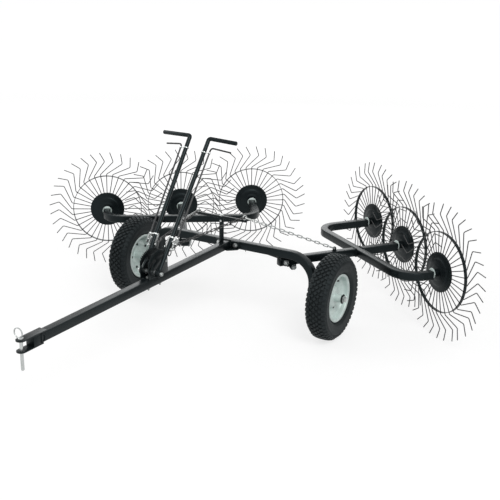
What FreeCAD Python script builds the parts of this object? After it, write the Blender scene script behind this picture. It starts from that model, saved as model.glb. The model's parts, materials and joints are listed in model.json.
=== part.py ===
import FreeCAD, Part
import math
import os
from FreeCAD import Placement, Rotation, Vector

# Six-wheel V rake towed behind a small vehicle.
# Row frame: +Z up from the ground, -Y towards the hitch, +X the machine's left side.
# Every size is in millimetres.

SIZES = [
    ("axle_y", 180.5, "road axle line, measured from the middle of the footprint"),
    ("tube_side", 38.1, "square tube used all over the machine"),
    ("tube_wall", 3.0, "wall of that tube"),
    ("frame_height", 369.0, "centre of drawbar and axle beam above the ground"),
    ("hitch_reach", 1424.0, "hitch pin ahead of the road axle"),
    ("drawbar_front", 1340.0, "front end of the drawbar tube ahead of the road axle"),
    ("plate_thick", 6.0, "plate used for brackets"),
    ("clevis_width", 38.1, "width of the clevis"),
    ("clevis_web", 40.0, "block between the clevis's arms, ahead of the drawbar"),
    ("clevis_plate", 5.0, "thickness of the clevis's arms"),
    ("upper_lap", 30.0, "how far the upper arm laps over the drawbar"),
    ("lower_lap", 10.0, "how far the lower arm laps under the drawbar"),
    ("pin_radius", 6.35, "hitch pin"),
    ("pin_low", 271.0, "lower end of the hitch pin above the ground"),
    ("pin_groove", 341.0, "upper end of the pin's free stretch above the ground"),
    ("pin_hole_play", 0.5, "radial play of the hitch pin in the clevis"),
    ("ring_radius", 19.0, "ring handle of the hitch pin, to the middle of its wire"),
    ("ring_lean", 35.0, "ring handle, in degrees from upright"),
    ("beam_straight", 320.0, "half length of the straight part of the axle beam"),
    ("beam_bend", 100.0, "centre-line radius of the axle beam's bends"),
    ("axle_height", 203.0, "road axle above the ground, which is the tyre radius"),
    ("track_half", 558.6, "middle of the machine to the middle of a tyre"),
    ("spindle_radius", 8.0, "road wheel spindle"),
    ("running_play", 0.05, "radial play of a wheel hub on its spindle"),
    ("tyre_width", 100.0, "section width of the tyre"),
    ("rim_radius", 104.0, "bead seat of the rim"),
    ("flange_radius", 114.0, "outer edge of the rim flange"),
    ("rim_wall", 3.0, "sheet of the rim and its dish"),
    ("road_hub_radius", 19.0, "hub tube of the road wheel"),
    ("road_hub_length", 110.0, "hub tube of the road wheel"),
    ("nut_length", 12.0, "nut of a road wheel's spindle"),
    ("rake_height", 325.0, "rake wheel centres above the ground"),
    ("frame_drop", 6.0, "rake frame's plane below the rake wheel centres"),
    ("rake_axis_angle", 54.27, "rake wheel axis, in degrees from +X"),
    ("hub_line_angle", 46.73, "line of the three hubs, in degrees back from +X"),
    ("hub_spacing", 425.8, "distance between neighbouring rake wheel hubs"),
    ("middle_hub_x", 683.0, "middle rake wheel hub, sideways"),
    ("middle_hub_y", 580.6, "middle rake wheel hub, behind the road axle"),
    ("rail_offset", 272.0, "centre of the long rail ahead of the middle rake wheel hub"),
    ("rail_bend", 105.0, "centre-line radius of the rail's bends"),
    ("stub_gap", 46.0, "end of a stub ahead of its rake wheel"),
    ("stub_plug", 4.0, "end plate of a stub"),
    ("arm_length", 708.0, "front end of the middle arm ahead of the middle hub"),
    ("lift_pivot", 682.0, "lift pivot ahead of the middle hub"),
    ("rest_bolt_gap", 42.0, "rest bolt behind the lift pivot"),
    ("chain_tab", 405.0, "chain tab ahead of the middle hub"),
    ("pivot_radius", 8.0, "lift pivot bolt"),
    ("hoop_radius", 190.0, "middle of the hoop's thickness"),
    ("hoop_width", 12.0, "hoop strip, along the wheel's axis"),
    ("hoop_thick", 4.0, "hoop strip"),
    ("hoop_flats", 18, "flats of the hoop, each with its share of the tines"),
    ("tine_count", 36, "tines on a rake wheel"),
    ("tine_size", 4.8, "side of a tine's triangular section"),
    ("tine_dish", 6.6, "how far the tines' inner ends lie behind the hoop"),
    ("tine_root", 70.0, "inner end of a tine"),
    ("tine_elbow", 272.0, "second kink of a tine"),
    ("tine_tip", 324.0, "outer end of a tine"),
    ("tine_sweep", 18.5, "how far the second kink trails the first, in degrees"),
    ("tine_return", 4.5, "how far the tip comes back from the second kink, in degrees"),
    ("disc_radius", 94.2, "hub disc of a rake wheel"),
    ("disc_plate", 2.5, "plate of a hub disc"),
    ("disc_slot", 6.6, "gap between a hub disc's two plates, for the tines' inner ends"),
    ("disc_cone", 7.0, "how far a hub disc's plate rises from its edge to the hub"),
    ("rake_spindle", 10.0, "radius of a rake wheel's spindle"),
    ("spindle_tip", 21.0, "outer end of that spindle beyond the wheel's middle"),
    ("collar_radius", 23.0, "collar behind a rake wheel"),
    ("collar_length", 7.0, "collar behind a rake wheel"),
    ("hub_back", 38.0, "back end of a rake wheel's hub behind the wheel's middle"),
    ("hub_front", 8.0, "seat of the nut in front of a rake wheel's middle"),
    ("rake_nut", 17.0, "corner radius of a rake wheel's nut"),
    ("rake_nut_length", 9.0, "nut of a rake wheel"),
    ("round_sides", 20, "flats of a tyre or rim"),
    ("disc_sides", 14, "flats of a hub disc"),
    ("bend_steps", 8, "flats of a tube's bend"),
    ("rake_hub", 19.0, "radius of a rake wheel's hub sleeve"),
    ("lever_pivot_reach", 650.0, "lever pivot ahead of the road axle"),
    ("lever_pivot_height", 412.0, "lever pivot above the ground"),
    ("lever_radius", 9.5, "lever shaft"),
    ("lever_length", 640.0, "pivot to the middle of the grip"),
    ("lever_side", 40.5, "middle of a lever shaft from the machine's middle"),
    ("lever_lean_left", 37.4, "left lever at rest, in degrees back from upright"),
    ("lever_lean_right", 34.9, "right lever at rest, in degrees back from upright"),
    ("grip_length", 140.0, "how far the grip stands out from its shaft"),
    ("lever_bend", 24.0, "centre-line radius of the bend below the grip"),
    ("lug_thick", 5.0, "chain lug on a lever"),
    ("trigger_gap", 28.0, "trigger rod beside the lever shaft"),
    ("trigger_radius", 4.0, "trigger rod"),
    ("notch_radius", 108.0, "tips of the sector's teeth from the lever pivot"),
    ("sector_teeth", 9, "teeth of a sector"),
    ("tooth_depth", 5.0, "teeth of a sector"),
    ("sector_first", -26.0, "first tooth from upright, in degrees"),
    ("sector_span", 66.0, "arc of the teeth, in degrees"),
    ("sector_rear", 80.0, "rear edge of a sector behind the lever pivot"),
    ("slot_radius", 78.0, "middle of the sector's arc slot from the lever pivot"),
    ("slot_width", 14.0, "arc slot of a sector"),
    ("sector_bolt_ahead", 64.0, "front bolt of a sector ahead of the lever pivot"),
    ("sector_bolt_behind", 36.0, "rear bolt of a sector behind the lever pivot"),
    ("sector_bolt_height", 408.0, "bolts of a sector above the ground"),
    ("sector_bolt", 9.0, "corner radius of a sector's bolt heads"),
    ("trigger_foot", 125.0, "lower end of the trigger rod, along the lever from its pivot"),
    ("trigger_drop", 44.0, "trigger handle below the grip, along the lever"),
    ("trigger_handle", 80.0, "how far the trigger handle stands out from its rod"),
    ("joint_width", 130.0, "plate that joins the drawbar to the axle beam"),
    ("guide_thick", 12.0, "chain guide bar"),
    ("guide_height", 512.0, "chain guide bar above the ground"),
    ("guide_half", 137.0, "half length of the chain guide bar"),
    ("post_reach", 78.0, "guide post ahead of the road axle"),
    ("post_width", 20.0, "guide post, sideways"),
    ("eye_turn", -28.0, "turn of the left eye's hole from sideways, in degrees"),
    ("eye_radius", 10.0, "eye on the guide bar's end, to the middle of its wire"),
    ("eye_wire", 2.4, "radius of the eye's wire"),
    ("link_wire", 2.2, "radius of a chain link's wire"),
    ("link_half", 18.0, "half length of a link, to the middle of its wire"),
    ("link_side", 5.0, "half width of a link, to the middle of its wire"),
    ("shackle_half", 20.0, "half length of the large link at each end of a chain"),
    ("shackle_side", 8.0, "half width of that link"),
    ("shackle_nose", 3.6, "half width of that link's nose"),
    ("link_bite", 8.7, "least distance between the noses of two hooked links"),
    ("eye_bite", 5.4, "distance between a large link's wire and the eye's"),
    ("lug_reach", 135.0, "chain lug from the lever's pivot, along the lever"),
    ("lug_out", 22.0, "hole of the chain lug behind the lever's middle"),
    ("lug_hole", 4.5, "radius of the holes that the large links hook into"),
    ("tab_rise", 12.0, "hole of the chain tab above the arm"),
]

doc = FreeCAD.newDocument("WheelRake")
sheet = doc.addObject("Spreadsheet::Sheet", "Sizes")
for row, (alias, value, note) in enumerate(SIZES, start=1):
    sheet.set("A%d" % row, note)
    sheet.set("B%d" % row, str(value))
    sheet.setAlias("B%d" % row, alias)
doc.recompute()

X = Vector(1, 0, 0)
Y = Vector(0, 1, 0)
Z = Vector(0, 0, 1)
SIDES = (("left", 1), ("right", -1))
nodes = {}


def size(alias):
    """Value of one cell of the sheet."""
    return float(sheet.get(alias))


def keep(node, obj):
    """Name an object as one sub-part of the machine."""
    obj.Label = node
    nodes[node] = obj
    return obj


def bind(obj, formulas):
    """Tie an object's sizes to formulas of the sheet's cells."""
    for prop, formula in formulas.items():
        obj.setExpression(prop, formula)
    obj.recompute()
    return obj


def box(name, length, width, height, centre, turn=Rotation()):
    """Block with its middle at a point; its sizes are formulas, along X, Y and Z before turning."""
    obj = bind(doc.addObject("Part::Box", name), {"Length": length, "Width": width, "Height": height})
    half = Vector(obj.Length.Value, obj.Width.Value, obj.Height.Value) * 0.5
    obj.Placement = Placement(centre - turn.multVec(half), turn)
    return obj


def rod(name, radius, length, start, direction):
    """Round bar from a start point along a direction."""
    obj = bind(doc.addObject("Part::Cylinder", name), {"Radius": radius, "Height": length})
    obj.Placement = Placement(start, Rotation(Z, direction))
    return obj


def ring(name, outer, inner, length, start, direction):
    """Round sleeve or washer from a start point along a direction."""
    return cut(name, rod(name + "_body", outer, length, start, direction),
               rod(name + "_bore", inner, length, start, direction))


def cut(name, base, tool):
    obj = doc.addObject("Part::Cut", name)
    obj.Base = base
    obj.Tool = tool
    return obj


def fuse(name, pieces):
    obj = doc.addObject("Part::MultiFuse", name)
    obj.Shapes = pieces
    return obj


def shape_part(name, shape):
    """Sub-part whose shape is worked out in this file from the sheet's sizes."""
    obj = doc.addObject("Part::Feature", name)
    obj.Shape = shape
    return obj


def mirrored(shape, side):
    """Shape made for the left side, or its mirror image for the right side."""
    return shape if side > 0 else shape.mirror(Vector(), X)


# ---------------------------------------------------------------- places

AXLE = Vector(0, size("axle_y"), 0)
FRAME_Z = size("frame_height")
HALF = size("tube_side") / 2

axis_turn = math.radians(size("rake_axis_angle"))
OUT = Vector(math.cos(axis_turn), math.sin(axis_turn), 0)
ALONG = Vector(math.sin(axis_turn), -math.cos(axis_turn), 0)
line_turn = math.radians(size("hub_line_angle"))
HUB_STEP = Vector(math.cos(line_turn), -math.sin(line_turn), 0) * size("hub_spacing")
HUB_MIDDLE = AXLE + Vector(size("middle_hub_x"), size("middle_hub_y"), size("rake_height"))
HUBS = {"front": HUB_MIDDLE + HUB_STEP, "middle": HUB_MIDDLE, "rear": HUB_MIDDLE - HUB_STEP}
LIFT_PIVOT = HUB_MIDDLE - OUT * size("lift_pivot") - Z * size("frame_drop")
LEVER_PIVOT = AXLE + Vector(0, -size("lever_pivot_reach"), size("lever_pivot_height"))
EYE_AXIS = Rotation(Z, size("eye_turn")).multVec(X)


def bend_points(points, radius, steps):
    """Flat path with each corner rounded into chords: places and the directions along it."""
    places = [points[0]]
    ways = [(points[1] - points[0]).normalize()]
    for before, corner, after in zip(points, points[1:], points[2:]):
        ahead = (corner - before).normalize()
        leaving = (after - corner).normalize()
        turn = ahead.getAngle(leaving)
        trim = radius * math.tan(turn / 2)
        start = corner - ahead * trim
        inward = (leaving - ahead * math.cos(turn)).normalize()
        for step in range(steps + 1):
            angle = turn * step / steps
            places.append(start + ahead * (radius * math.sin(angle)) + inward * (radius * (1 - math.cos(angle))))
            ways.append((ahead * math.cos(angle) + inward * math.sin(angle)).normalize())
    places.append(points[-1])
    ways.append((points[-1] - points[-2]).normalize())
    return places, ways


def bent_bar(points, radius, width, normal):
    """Square bar along a flat path; its outline in the path's plane is raised along the normal."""
    places, ways = bend_points(points, radius, int(size("bend_steps")))
    sides = [way.cross(normal) * (width / 2) for way in ways]
    outline = [place + side for place, side in zip(places, sides)]
    outline += [place - side for place, side in reversed(list(zip(places, sides)))]
    low = normal * (-width / 2)
    outline = [point + low for point in outline]
    return Part.Face(Part.makePolygon(outline + outline[:1])).extrude(normal * width)


def bent_tube(points, radius, normal):
    """Hollow square tube along a flat path, open at both ends."""
    inside = size("tube_side") - 2 * size("tube_wall")
    return bent_bar(points, radius, size("tube_side"), normal).cut(bent_bar(points, radius, inside, normal))


def skin(rings):
    """Solid of flat faces over a closed run of closed sections."""
    faces = []
    for low, high in zip(rings, rings[1:] + rings[:1]):
        for side, corner in enumerate(low):
            far = (side + 1) % len(low)
            faces.append(Part.Face(Part.makePolygon([corner, low[far], high[far], high[side], corner])))
    solid = Part.Solid(Part.Shell(faces))
    if solid.Volume < 0:
        solid.reverse()
    return solid


def lathe(points, sides, centre, axis, first=0.0):
    """Solid with flat sides about an axis, from a closed outline of (radius, along-axis) points."""
    turn = Rotation(Z, axis)
    rings = []
    for radius, along in points:
        angles = [math.radians(first + 360.0 * side / sides) for side in range(sides)]
        rings.append([centre + turn.multVec(Vector(radius * math.cos(a), radius * math.sin(a), along))
                      for a in angles])
    return skin(rings)


def bar(sides, radius, start, end, first=0.0):
    """Straight bar with flat sides between two points."""
    turn = Rotation(Z, end - start)
    angles = [math.radians(first + 360.0 * side / sides) for side in range(sides)]
    corners = [start + turn.multVec(Vector(radius * math.cos(a), radius * math.sin(a), 0)) for a in angles]
    return Part.Face(Part.makePolygon(corners + corners[:1])).extrude(end - start)


def bent_wire(spine, sides, radius, rise):
    """Bar with flat sides along a bent path; each section lies in the plane that halves its corner."""
    ways = [(after - before).normalize() for before, after in zip(spine, spine[1:])]
    out = rise.cross(ways[0]).normalize()
    up = ways[0].cross(out)
    angles = [math.radians(90 + 360.0 * side / sides) for side in range(sides)]
    section = [spine[0] + out * (radius * math.cos(a)) + up * (radius * math.sin(a)) for a in angles]
    sections = [section]
    for place, way, after in zip(spine[1:], ways, ways[1:] + ways[-1:]):
        halving = way + after
        section = [point + way * ((place - point).dot(halving) / way.dot(halving)) for point in section]
        sections.append(section)
    faces = [Part.Face(Part.makePolygon(end + end[:1])) for end in (sections[0], sections[-1])]
    for low, high in zip(sections, sections[1:]):
        for side, corner in enumerate(low):
            far = (side + 1) % sides
            faces.append(Part.Face(Part.makePolygon([corner, low[far], high[far], high[side], corner])))
    solid = Part.Solid(Part.Shell(faces))
    if solid.Volume < 0:
        solid.reverse()
    return solid


def prism(name, sides, radius, length, start, direction):
    """Bar with flat sides whose sizes are formulas, from a start point along a direction."""
    obj = bind(doc.addObject("Part::Prism", name), {"Circumradius": radius, "Height": length})
    obj.Polygon = sides
    obj.Placement = Placement(start, Rotation(Z, direction))
    return obj


# ---------------------------------------------------------------- drawbar and hitch

def make_drawbar():
    """Straight square tube from the clevis back to the axle beam."""
    length = "Sizes.drawbar_front - Sizes.tube_side / 2 - Sizes.plate_thick"
    back = HALF + size("plate_thick")
    centre = AXLE + Vector(0, -(size("drawbar_front") + back) / 2, FRAME_Z)
    outer = box("drawbar_outer", "Sizes.tube_side", length, "Sizes.tube_side", centre)
    inside = "Sizes.tube_side - 2 * Sizes.tube_wall"
    inner = box("drawbar_inner", inside, length, inside, centre)
    keep("drawbar", cut("drawbar", outer, inner))


def make_clevis():
    """Two flat arms over and under a block on the drawbar's front end; the hitch pin goes through both."""
    nose = AXLE + Vector(0, -size("hitch_reach"), 0)
    web_y = -size("drawbar_front") - size("clevis_web") / 2
    pieces = [box("clevis_web", "Sizes.clevis_width", "Sizes.clevis_web", "Sizes.tube_side",
                  AXLE + Vector(0, web_y, FRAME_Z))]
    plate = size("clevis_plate")
    for arm, level in (("upper", HALF + plate / 2), ("lower", -HALF - plate / 2)):
        back = size("drawbar_front") - size("%s_lap" % arm)
        middle = Vector(0, -(size("hitch_reach") + back) / 2, FRAME_Z + level)
        pieces.append(box("clevis_%s" % arm, "Sizes.clevis_width",
                          "Sizes.hitch_reach - Sizes.drawbar_front + Sizes.%s_lap" % arm,
                          "Sizes.clevis_plate", AXLE + middle))
        start = nose + Vector(0, 0, FRAME_Z + level - plate / 2)
        pieces.append(rod("clevis_%s_nose" % arm, "Sizes.clevis_width / 2", "Sizes.clevis_plate", start, Z))
    hole = rod("clevis_hole", "Sizes.pin_radius + Sizes.pin_hole_play", "Sizes.tube_side * 2",
               nose + Vector(0, 0, FRAME_Z - size("tube_side")), Z)
    keep("clevis", cut("clevis", fuse("clevis_arms", pieces), hole))


def make_hitch_pin():
    """Pin with a head and a leaning ring above the clevis and a groove under it; its foot hangs free."""
    nose = AXLE + Vector(0, -size("hitch_reach"), 0)
    seat = FRAME_Z + HALF + size("clevis_plate")
    groove = 2.0
    head = 6.0
    shank_z = size("pin_groove") + groove
    pieces = [rod("pin_foot", "Sizes.pin_radius", "Sizes.pin_groove - Sizes.pin_low",
                  nose + Z * size("pin_low"), Z),
              prism("pin_neck", 8, "Sizes.pin_radius - 1", str(groove), nose + Z * size("pin_groove"), Z),
              prism("pin_shank", 12, "Sizes.pin_radius", str(seat - shank_z), nose + Z * shank_z, Z),
              prism("pin_head", 12, "Sizes.pin_radius * 1.6", str(head), nose + Z * seat, Z)]
    wire = 2.6
    lean = math.radians(size("ring_lean"))
    centre = nose + Z * (seat + head) + Vector(-math.sin(lean), 0, math.cos(lean)) * size("ring_radius")
    section = [(size("ring_radius") + wire * math.cos(math.radians(90 * corner)),
                wire * math.sin(math.radians(90 * corner))) for corner in range(4)]
    pieces.append(shape_part("pin_ring", lathe(section, 14, centre, Y)))
    keep("hitch_pin", fuse("hitch_pin", pieces))


# ---------------------------------------------------------------- axle beam and road wheels

def make_axle_beam():
    """Square tube arched over the road wheels' line, with a spindle at each lower end."""
    reach = size("beam_straight") + size("beam_bend")
    foot_z = size("axle_height") - HALF
    points = [AXLE + Vector(x, 0, z) for x, z in
              ((-reach, foot_z), (-reach, FRAME_Z), (reach, FRAME_Z), (reach, foot_z))]
    beam = bent_tube(points, size("beam_bend"), Y)
    hub_inner = size("track_half") - size("road_hub_length") / 2
    for side in (1, -1):
        middle = AXLE + Vector(side * reach, 0, size("axle_height"))
        cap = Part.makeBox(size("tube_side"), size("tube_side"), size("tube_side"),
                           middle - Vector(HALF, HALF, HALF))
        spindle = Part.makeCylinder(size("spindle_radius"),
                                    hub_inner + size("road_hub_length") + size("nut_length") - reach,
                                    middle, X * side)
        shoulder = bar(12, size("road_hub_radius"), middle, middle + X * side * (hub_inner - reach - 1))
        beam = beam.fuse([cap, spindle, shoulder])
    keep("axle_beam", shape_part("axle_beam", beam.removeSplitter()))


def make_axle_nuts(side_name, side):
    """Washer and cap nut on the outer end of a road wheel's spindle."""
    tip = AXLE + Vector(side * (size("track_half") + size("road_hub_length") / 2), 0, size("axle_height"))
    washer = prism("axle_washer_%s" % side_name, 12, "Sizes.spindle_radius * 2", "3", tip + X * side, X * side)
    nut = prism("axle_nut_body_%s" % side_name, 6, "Sizes.spindle_radius * 1.7",
                "Sizes.nut_length + 3", tip + X * side, X * side)
    hole = rod("axle_nut_hole_%s" % side_name, "Sizes.spindle_radius", "Sizes.nut_length", tip, X * side)
    keep("axle_nut_%s" % side_name,
         cut("axle_nut_%s" % side_name, fuse("axle_nut_blank_%s" % side_name, [washer, nut]), hole))


def make_road_wheel(side_name, side):
    """Tyre and dished steel rim; the rim's hub turns on the spindle."""
    centre = AXLE + Vector(side * size("track_half"), 0, size("axle_height"))
    sides = int(size("round_sides"))
    outer = size("axle_height")
    half = size("tyre_width") / 2
    rim = size("rim_radius")
    bead = rim + 0.3
    tyre_edge = [(bead, 0.60 * half), (bead + 13, 0.64 * half), (bead + 20, 0.86 * half),
                 (0.76 * outer, half), (0.91 * outer, 0.94 * half), (outer, 0.62 * half)]
    tyre = lathe([(r, -a) for r, a in tyre_edge] + list(reversed(tyre_edge)), sides, centre, X)
    keep("tyre_%s" % side_name, shape_part("tyre_%s" % side_name, tyre))
    seat = 0.66 * half
    wall = size("rim_wall")
    inside = rim - wall
    lip = size("flange_radius")
    hub = size("road_hub_radius")
    bore = (size("spindle_radius") + size("running_play")) / math.cos(math.pi / sides)
    hub_half = size("road_hub_length") / 2
    outline = [(rim, -seat), (rim, seat), (lip, seat + wall / 2), (lip, seat + wall * 1.5), (inside, seat + wall),
               (inside, 3 * wall), (0.6 * rim, -wall / 3), (0.45 * rim, 4 * wall), (hub, 4 * wall), (hub, hub_half),
               (bore, hub_half), (bore, -hub_half), (hub, -hub_half), (hub, 3 * wall), (0.44 * rim, 3 * wall),
               (0.6 * rim, -wall * 1.4), (inside, 2 * wall), (inside, -seat - wall), (lip, -seat - wall * 1.5),
               (lip, -seat - wall / 2)]
    keep("rim_%s" % side_name, shape_part("rim_%s" % side_name, lathe(outline, sides, centre, X * side)))


# ---------------------------------------------------------------- post, brackets, sectors

def eye_place():
    """Middle of the left eye on the guide bar."""
    height = size("guide_height") + size("guide_thick") + size("eye_radius")
    return AXLE + Vector(size("guide_half") - size("eye_radius"), -size("post_reach"), height)


def make_guide_post():
    """Flat post on the drawbar with a cross bar; an eye on each end of the bar takes a lift chain."""
    foot_z = FRAME_Z + HALF
    height = size("guide_height") - foot_z
    base = AXLE + Vector(0, -size("post_reach"), 0)
    post = box("post_bar", "Sizes.post_width", "Sizes.guide_thick",
               "Sizes.guide_height - Sizes.frame_height - Sizes.tube_side / 2", base + Z * (foot_z + height / 2))
    cross = box("post_guide", "2 * Sizes.guide_half", "Sizes.guide_thick", "Sizes.guide_thick",
                base + Z * (size("guide_height") + size("guide_thick") / 2))
    pieces = [post, cross]
    for tag, side in SIDES:
        wire = [(size("eye_radius") + size("eye_wire") * math.cos(math.radians(45 + 90 * corner)),
                 size("eye_wire") * math.sin(math.radians(45 + 90 * corner))) for corner in range(4)]
        pieces.append(shape_part("guide_eye_%s" % tag, mirrored(lathe(wire, 12, eye_place(), EYE_AXIS), side)))
    keep("guide_post", fuse("guide_post", pieces))


def make_joint_bracket():
    """Plate against the axle beam's front that the drawbar butts, with a gusset in each corner."""
    thick = size("plate_thick")
    face_y = -HALF - thick / 2
    pieces = [box("joint_plate", "Sizes.joint_width", "Sizes.plate_thick", "Sizes.tube_side",
                  AXLE + Vector(0, face_y, FRAME_Z))]
    for tag, side in SIDES:
        corner = AXLE + Vector(side * HALF, -HALF - thick, FRAME_Z - HALF)
        run = Vector(side * (size("joint_width") / 2 - HALF), 0, 0)
        outline = [corner, corner + run, corner - Y * run.Length]
        gusset = Part.Face(Part.makePolygon(outline + outline[:1])).extrude(Z * thick)
        pieces.append(shape_part("gusset_%s" % tag, gusset))
        head_start = AXLE + Vector(side * 46, -HALF - thick, FRAME_Z)
        pieces.append(prism("joint_bolt_%s" % tag, 6, "Sizes.pivot_radius * 1.2", "6", head_start, Y * -1))
    keep("joint_bracket", fuse("joint_bracket", pieces))


def sector_point(radius, turn, across):
    """Point of a sector's plane at a radius and a turn from upright about the lever pivot."""
    angle = math.radians(turn)
    return LEVER_PIVOT + Vector(across, radius * math.sin(angle), radius * math.cos(angle))


def make_sector(side_name, side):
    """Toothed plate on the drawbar, flanged across its front, with an arc slot and two bolt heads."""
    thick = size("plate_thick")
    inner = HALF - thick if side > 0 else -HALF
    radius = size("notch_radius")
    teeth = int(size("sector_teeth"))
    first = size("sector_first")
    step = size("sector_span") / teeth
    rim = [sector_point(radius - size("tooth_depth") * (1 - half), first + step * (index + half / 2), inner)
           for index in range(teeth) for half in (0, 1)]
    low = AXLE + Vector(inner, -size("lever_pivot_reach"), FRAME_Z + HALF)
    front = low - Y * radius
    rear = low + Y * size("sector_rear")
    brow = Vector(inner, front.y, rim[0].z)
    points = [front, brow] + rim + [Vector(inner, rear.y, rim[-1].z - radius / 4), rear]
    plate = Part.Face(Part.makePolygon(points + points[:1])).extrude(X * thick)
    bore = Part.makeCylinder(size("pivot_radius") + 2 * size("running_play"), 3 * thick,
                             LEVER_PIVOT + X * (inner - thick), X)
    slot_turns = [first + size("sector_span") * part / 4 for part in range(5)]
    slot_edge = [sector_point(size("slot_radius") + size("slot_width") / 2, turn, inner - thick)
                 for turn in slot_turns]
    slot_edge += [sector_point(size("slot_radius") - size("slot_width") / 2, turn, inner - thick)
                  for turn in reversed(slot_turns)]
    slot = Part.Face(Part.makePolygon(slot_edge + slot_edge[:1])).extrude(X * 3 * thick)
    flange = Part.makeBox(HALF - size("running_play"), thick, brow.z - front.z,
                          Vector(size("running_play") if side > 0 else -HALF, front.y, front.z))
    plate = plate.cut([bore, slot]).fuse(flange)
    for reach in (size("sector_bolt_ahead"), -size("sector_bolt_behind")):
        foot = AXLE + Vector(side * HALF, -size("lever_pivot_reach") - reach, size("sector_bolt_height"))
        plate = plate.fuse(bar(6, size("sector_bolt"), foot, foot + X * side * thick))
    keep("sector_%s" % side_name, shape_part("sector_%s" % side_name, plate.removeSplitter()))


def make_lever_pivot():
    """Bolt across both sectors that the levers turn on."""
    half = size("lever_side") + size("lever_radius") + 8
    shank = rod("lever_bolt_shank", "Sizes.pivot_radius",
                "2 * (Sizes.lever_side + Sizes.lever_radius + 8)", LEVER_PIVOT - X * half, X)
    heads = [prism("lever_bolt_head_%s" % tag, 6, "Sizes.pivot_radius * 1.6", "8",
                   LEVER_PIVOT + X * side * (half - 4), X * side) for tag, side in SIDES]
    keep("lever_bolt", fuse("lever_bolt", [shank] + heads))


def lever_line(side_name, side):
    """Foot of a lever on the pivot's line, and the direction up its shaft at rest."""
    lean = math.radians(size("lever_lean_%s" % side_name))
    return LEVER_PIVOT + X * side * size("lever_side"), Vector(0, math.sin(lean), math.cos(lean))


def make_lever(side_name, side):
    """Lever bent over at its top into a grip, with an eye at its pivot and a lug for the lift chain."""
    foot, up = lever_line(side_name, side)
    radius = size("lever_radius")
    top = foot + up * size("lever_length")
    tip = top + X * side * size("grip_length")
    normal = up.cross(X)
    spine, _ = bend_points([foot, top, tip], size("lever_bend"), 3)
    shaft = bent_wire(spine, 10, radius, normal)
    eye = bar(12, radius * 1.8, foot - X * radius, foot + X * radius)
    bore = Part.makeCylinder(size("pivot_radius") + size("running_play"), 4 * radius,
                             foot - X * 2 * radius, X)
    lug_end = size("lug_out") + 2 * size("lug_hole")
    lug = Part.makeBox(size("lug_thick"), lug_end, 4 * size("lug_hole"))
    turn = Rotation(X, math.degrees(math.atan2(normal.z, normal.y)))
    corner = Vector(-size("lug_thick") / 2, 0, -2 * size("lug_hole"))
    lug.Placement = Placement(foot + up * size("lug_reach") + turn.multVec(corner), turn)
    hole_middle = foot + up * size("lug_reach") + normal * size("lug_out")
    hole = bar(8, size("lug_hole"), hole_middle - X * radius, hole_middle + X * radius)
    lever = shaft.fuse([eye, lug.cut(hole)]).cut(bore)
    keep("lever_%s" % side_name, shape_part("lever_%s" % side_name, lever))


def make_trigger(side_name, side):
    """Rod beside a lever with a handle under the grip; two clips tie it to the lever."""
    foot, up = lever_line(side_name, side)
    radius = size("lever_radius")
    wire = size("trigger_radius")
    rod_foot = foot + X * side * size("trigger_gap") + up * size("trigger_foot")
    rod_top = rod_foot + up * (size("lever_length") - size("trigger_foot") - size("trigger_drop"))
    rod_bar = bar(6, wire, rod_foot, rod_top)
    handle = bar(6, wire, rod_top - X * side * wire, rod_top + X * side * size("trigger_handle"))
    clips = []
    for along in (size("trigger_foot") + 60, size("lever_length") - size("trigger_drop") - 40):
        near = foot + up * along + X * side * (radius + 0.1)
        clips.append(bar(4, wire * 1.3, near, near + X * side * (size("trigger_gap") - radius)))
    keep("trigger_%s" % side_name, shape_part("trigger_%s" % side_name, rod_bar.fuse([handle] + clips)))


# ---------------------------------------------------------------- rake frames

def make_lift_hinge(side_name, side):
    """Two lugs under the axle beam that hold the rake arm's pivot bolt and its rest bolt."""
    thick = size("plate_thick")
    rise = FRAME_Z - HALF - LIFT_PIVOT.z
    behind = LIFT_PIVOT.y - AXLE.y
    back = size("rest_bolt_gap")
    rest_drop = -HALF - size("pivot_radius") - 0.3
    lugs = []
    for level in (1, -1):
        inner = level * (HALF + 1.0)
        middle = inner + level * thick / 2
        front, rear = [(y - behind - ALONG.y * middle) / OUT.y for y in (3 - HALF, HALF - 3)]
        corners = [(front, rise), (rear, rise), (18, 12), (back + 14, -12), (back + 14, rest_drop - 14),
                   (back - 14, rest_drop - 14), (12, -16), (-14, -14), (-18, 8)]
        points = [LIFT_PIVOT + OUT * o + Z * h + ALONG * min(inner, inner + level * thick)
                  for o, h in corners]
        lugs.append(Part.Face(Part.makePolygon(points + points[:1])).extrude(ALONG * thick))
    half = HALF + 1.0 + thick
    bore = size("pivot_radius") / math.cos(math.pi / 12)
    web_corners = [(-38, -half), (-14, -half), (-14, half), (-38, half)]
    web_points = [LIFT_PIVOT + OUT * o + ALONG * a + Z * (rise - 5) for o, a in web_corners]
    web = Part.Face(Part.makePolygon(web_points + web_points[:1])).extrude(Z * 5)
    places = {"lift_pivot": LIFT_PIVOT, "rest_bolt": LIFT_PIVOT + OUT * back + Z * rest_drop}
    bores = [bar(12, bore, place - ALONG * 2 * half, place + ALONG * 2 * half) for place in places.values()]
    hinge = lugs[0].fuse([lugs[1], web]).cut(bores)
    keep("lift_hinge_%s" % side_name,
         shape_part("lift_hinge_%s" % side_name, mirrored(hinge, side)))
    for node, middle in places.items():
        bolt = Part.makeCylinder(size("pivot_radius") - size("running_play"), 2 * half + 14,
                                 middle - ALONG * (half + 7), ALONG)
        heads = [bar(6, size("pivot_radius") * 1.6, middle + ALONG * level * (half + 0.5),
                     middle + ALONG * level * (half + 8)) for level in (1, -1)]
        keep("%s_%s" % (node, side_name),
             shape_part("%s_%s" % (node, side_name), mirrored(bolt.fuse(heads), side)))


def chain_hook():
    """Hole of the left rake arm's chain tab."""
    return HUB_MIDDLE - OUT * size("chain_tab") + Z * (HALF + size("tab_rise") - size("frame_drop"))


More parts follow.
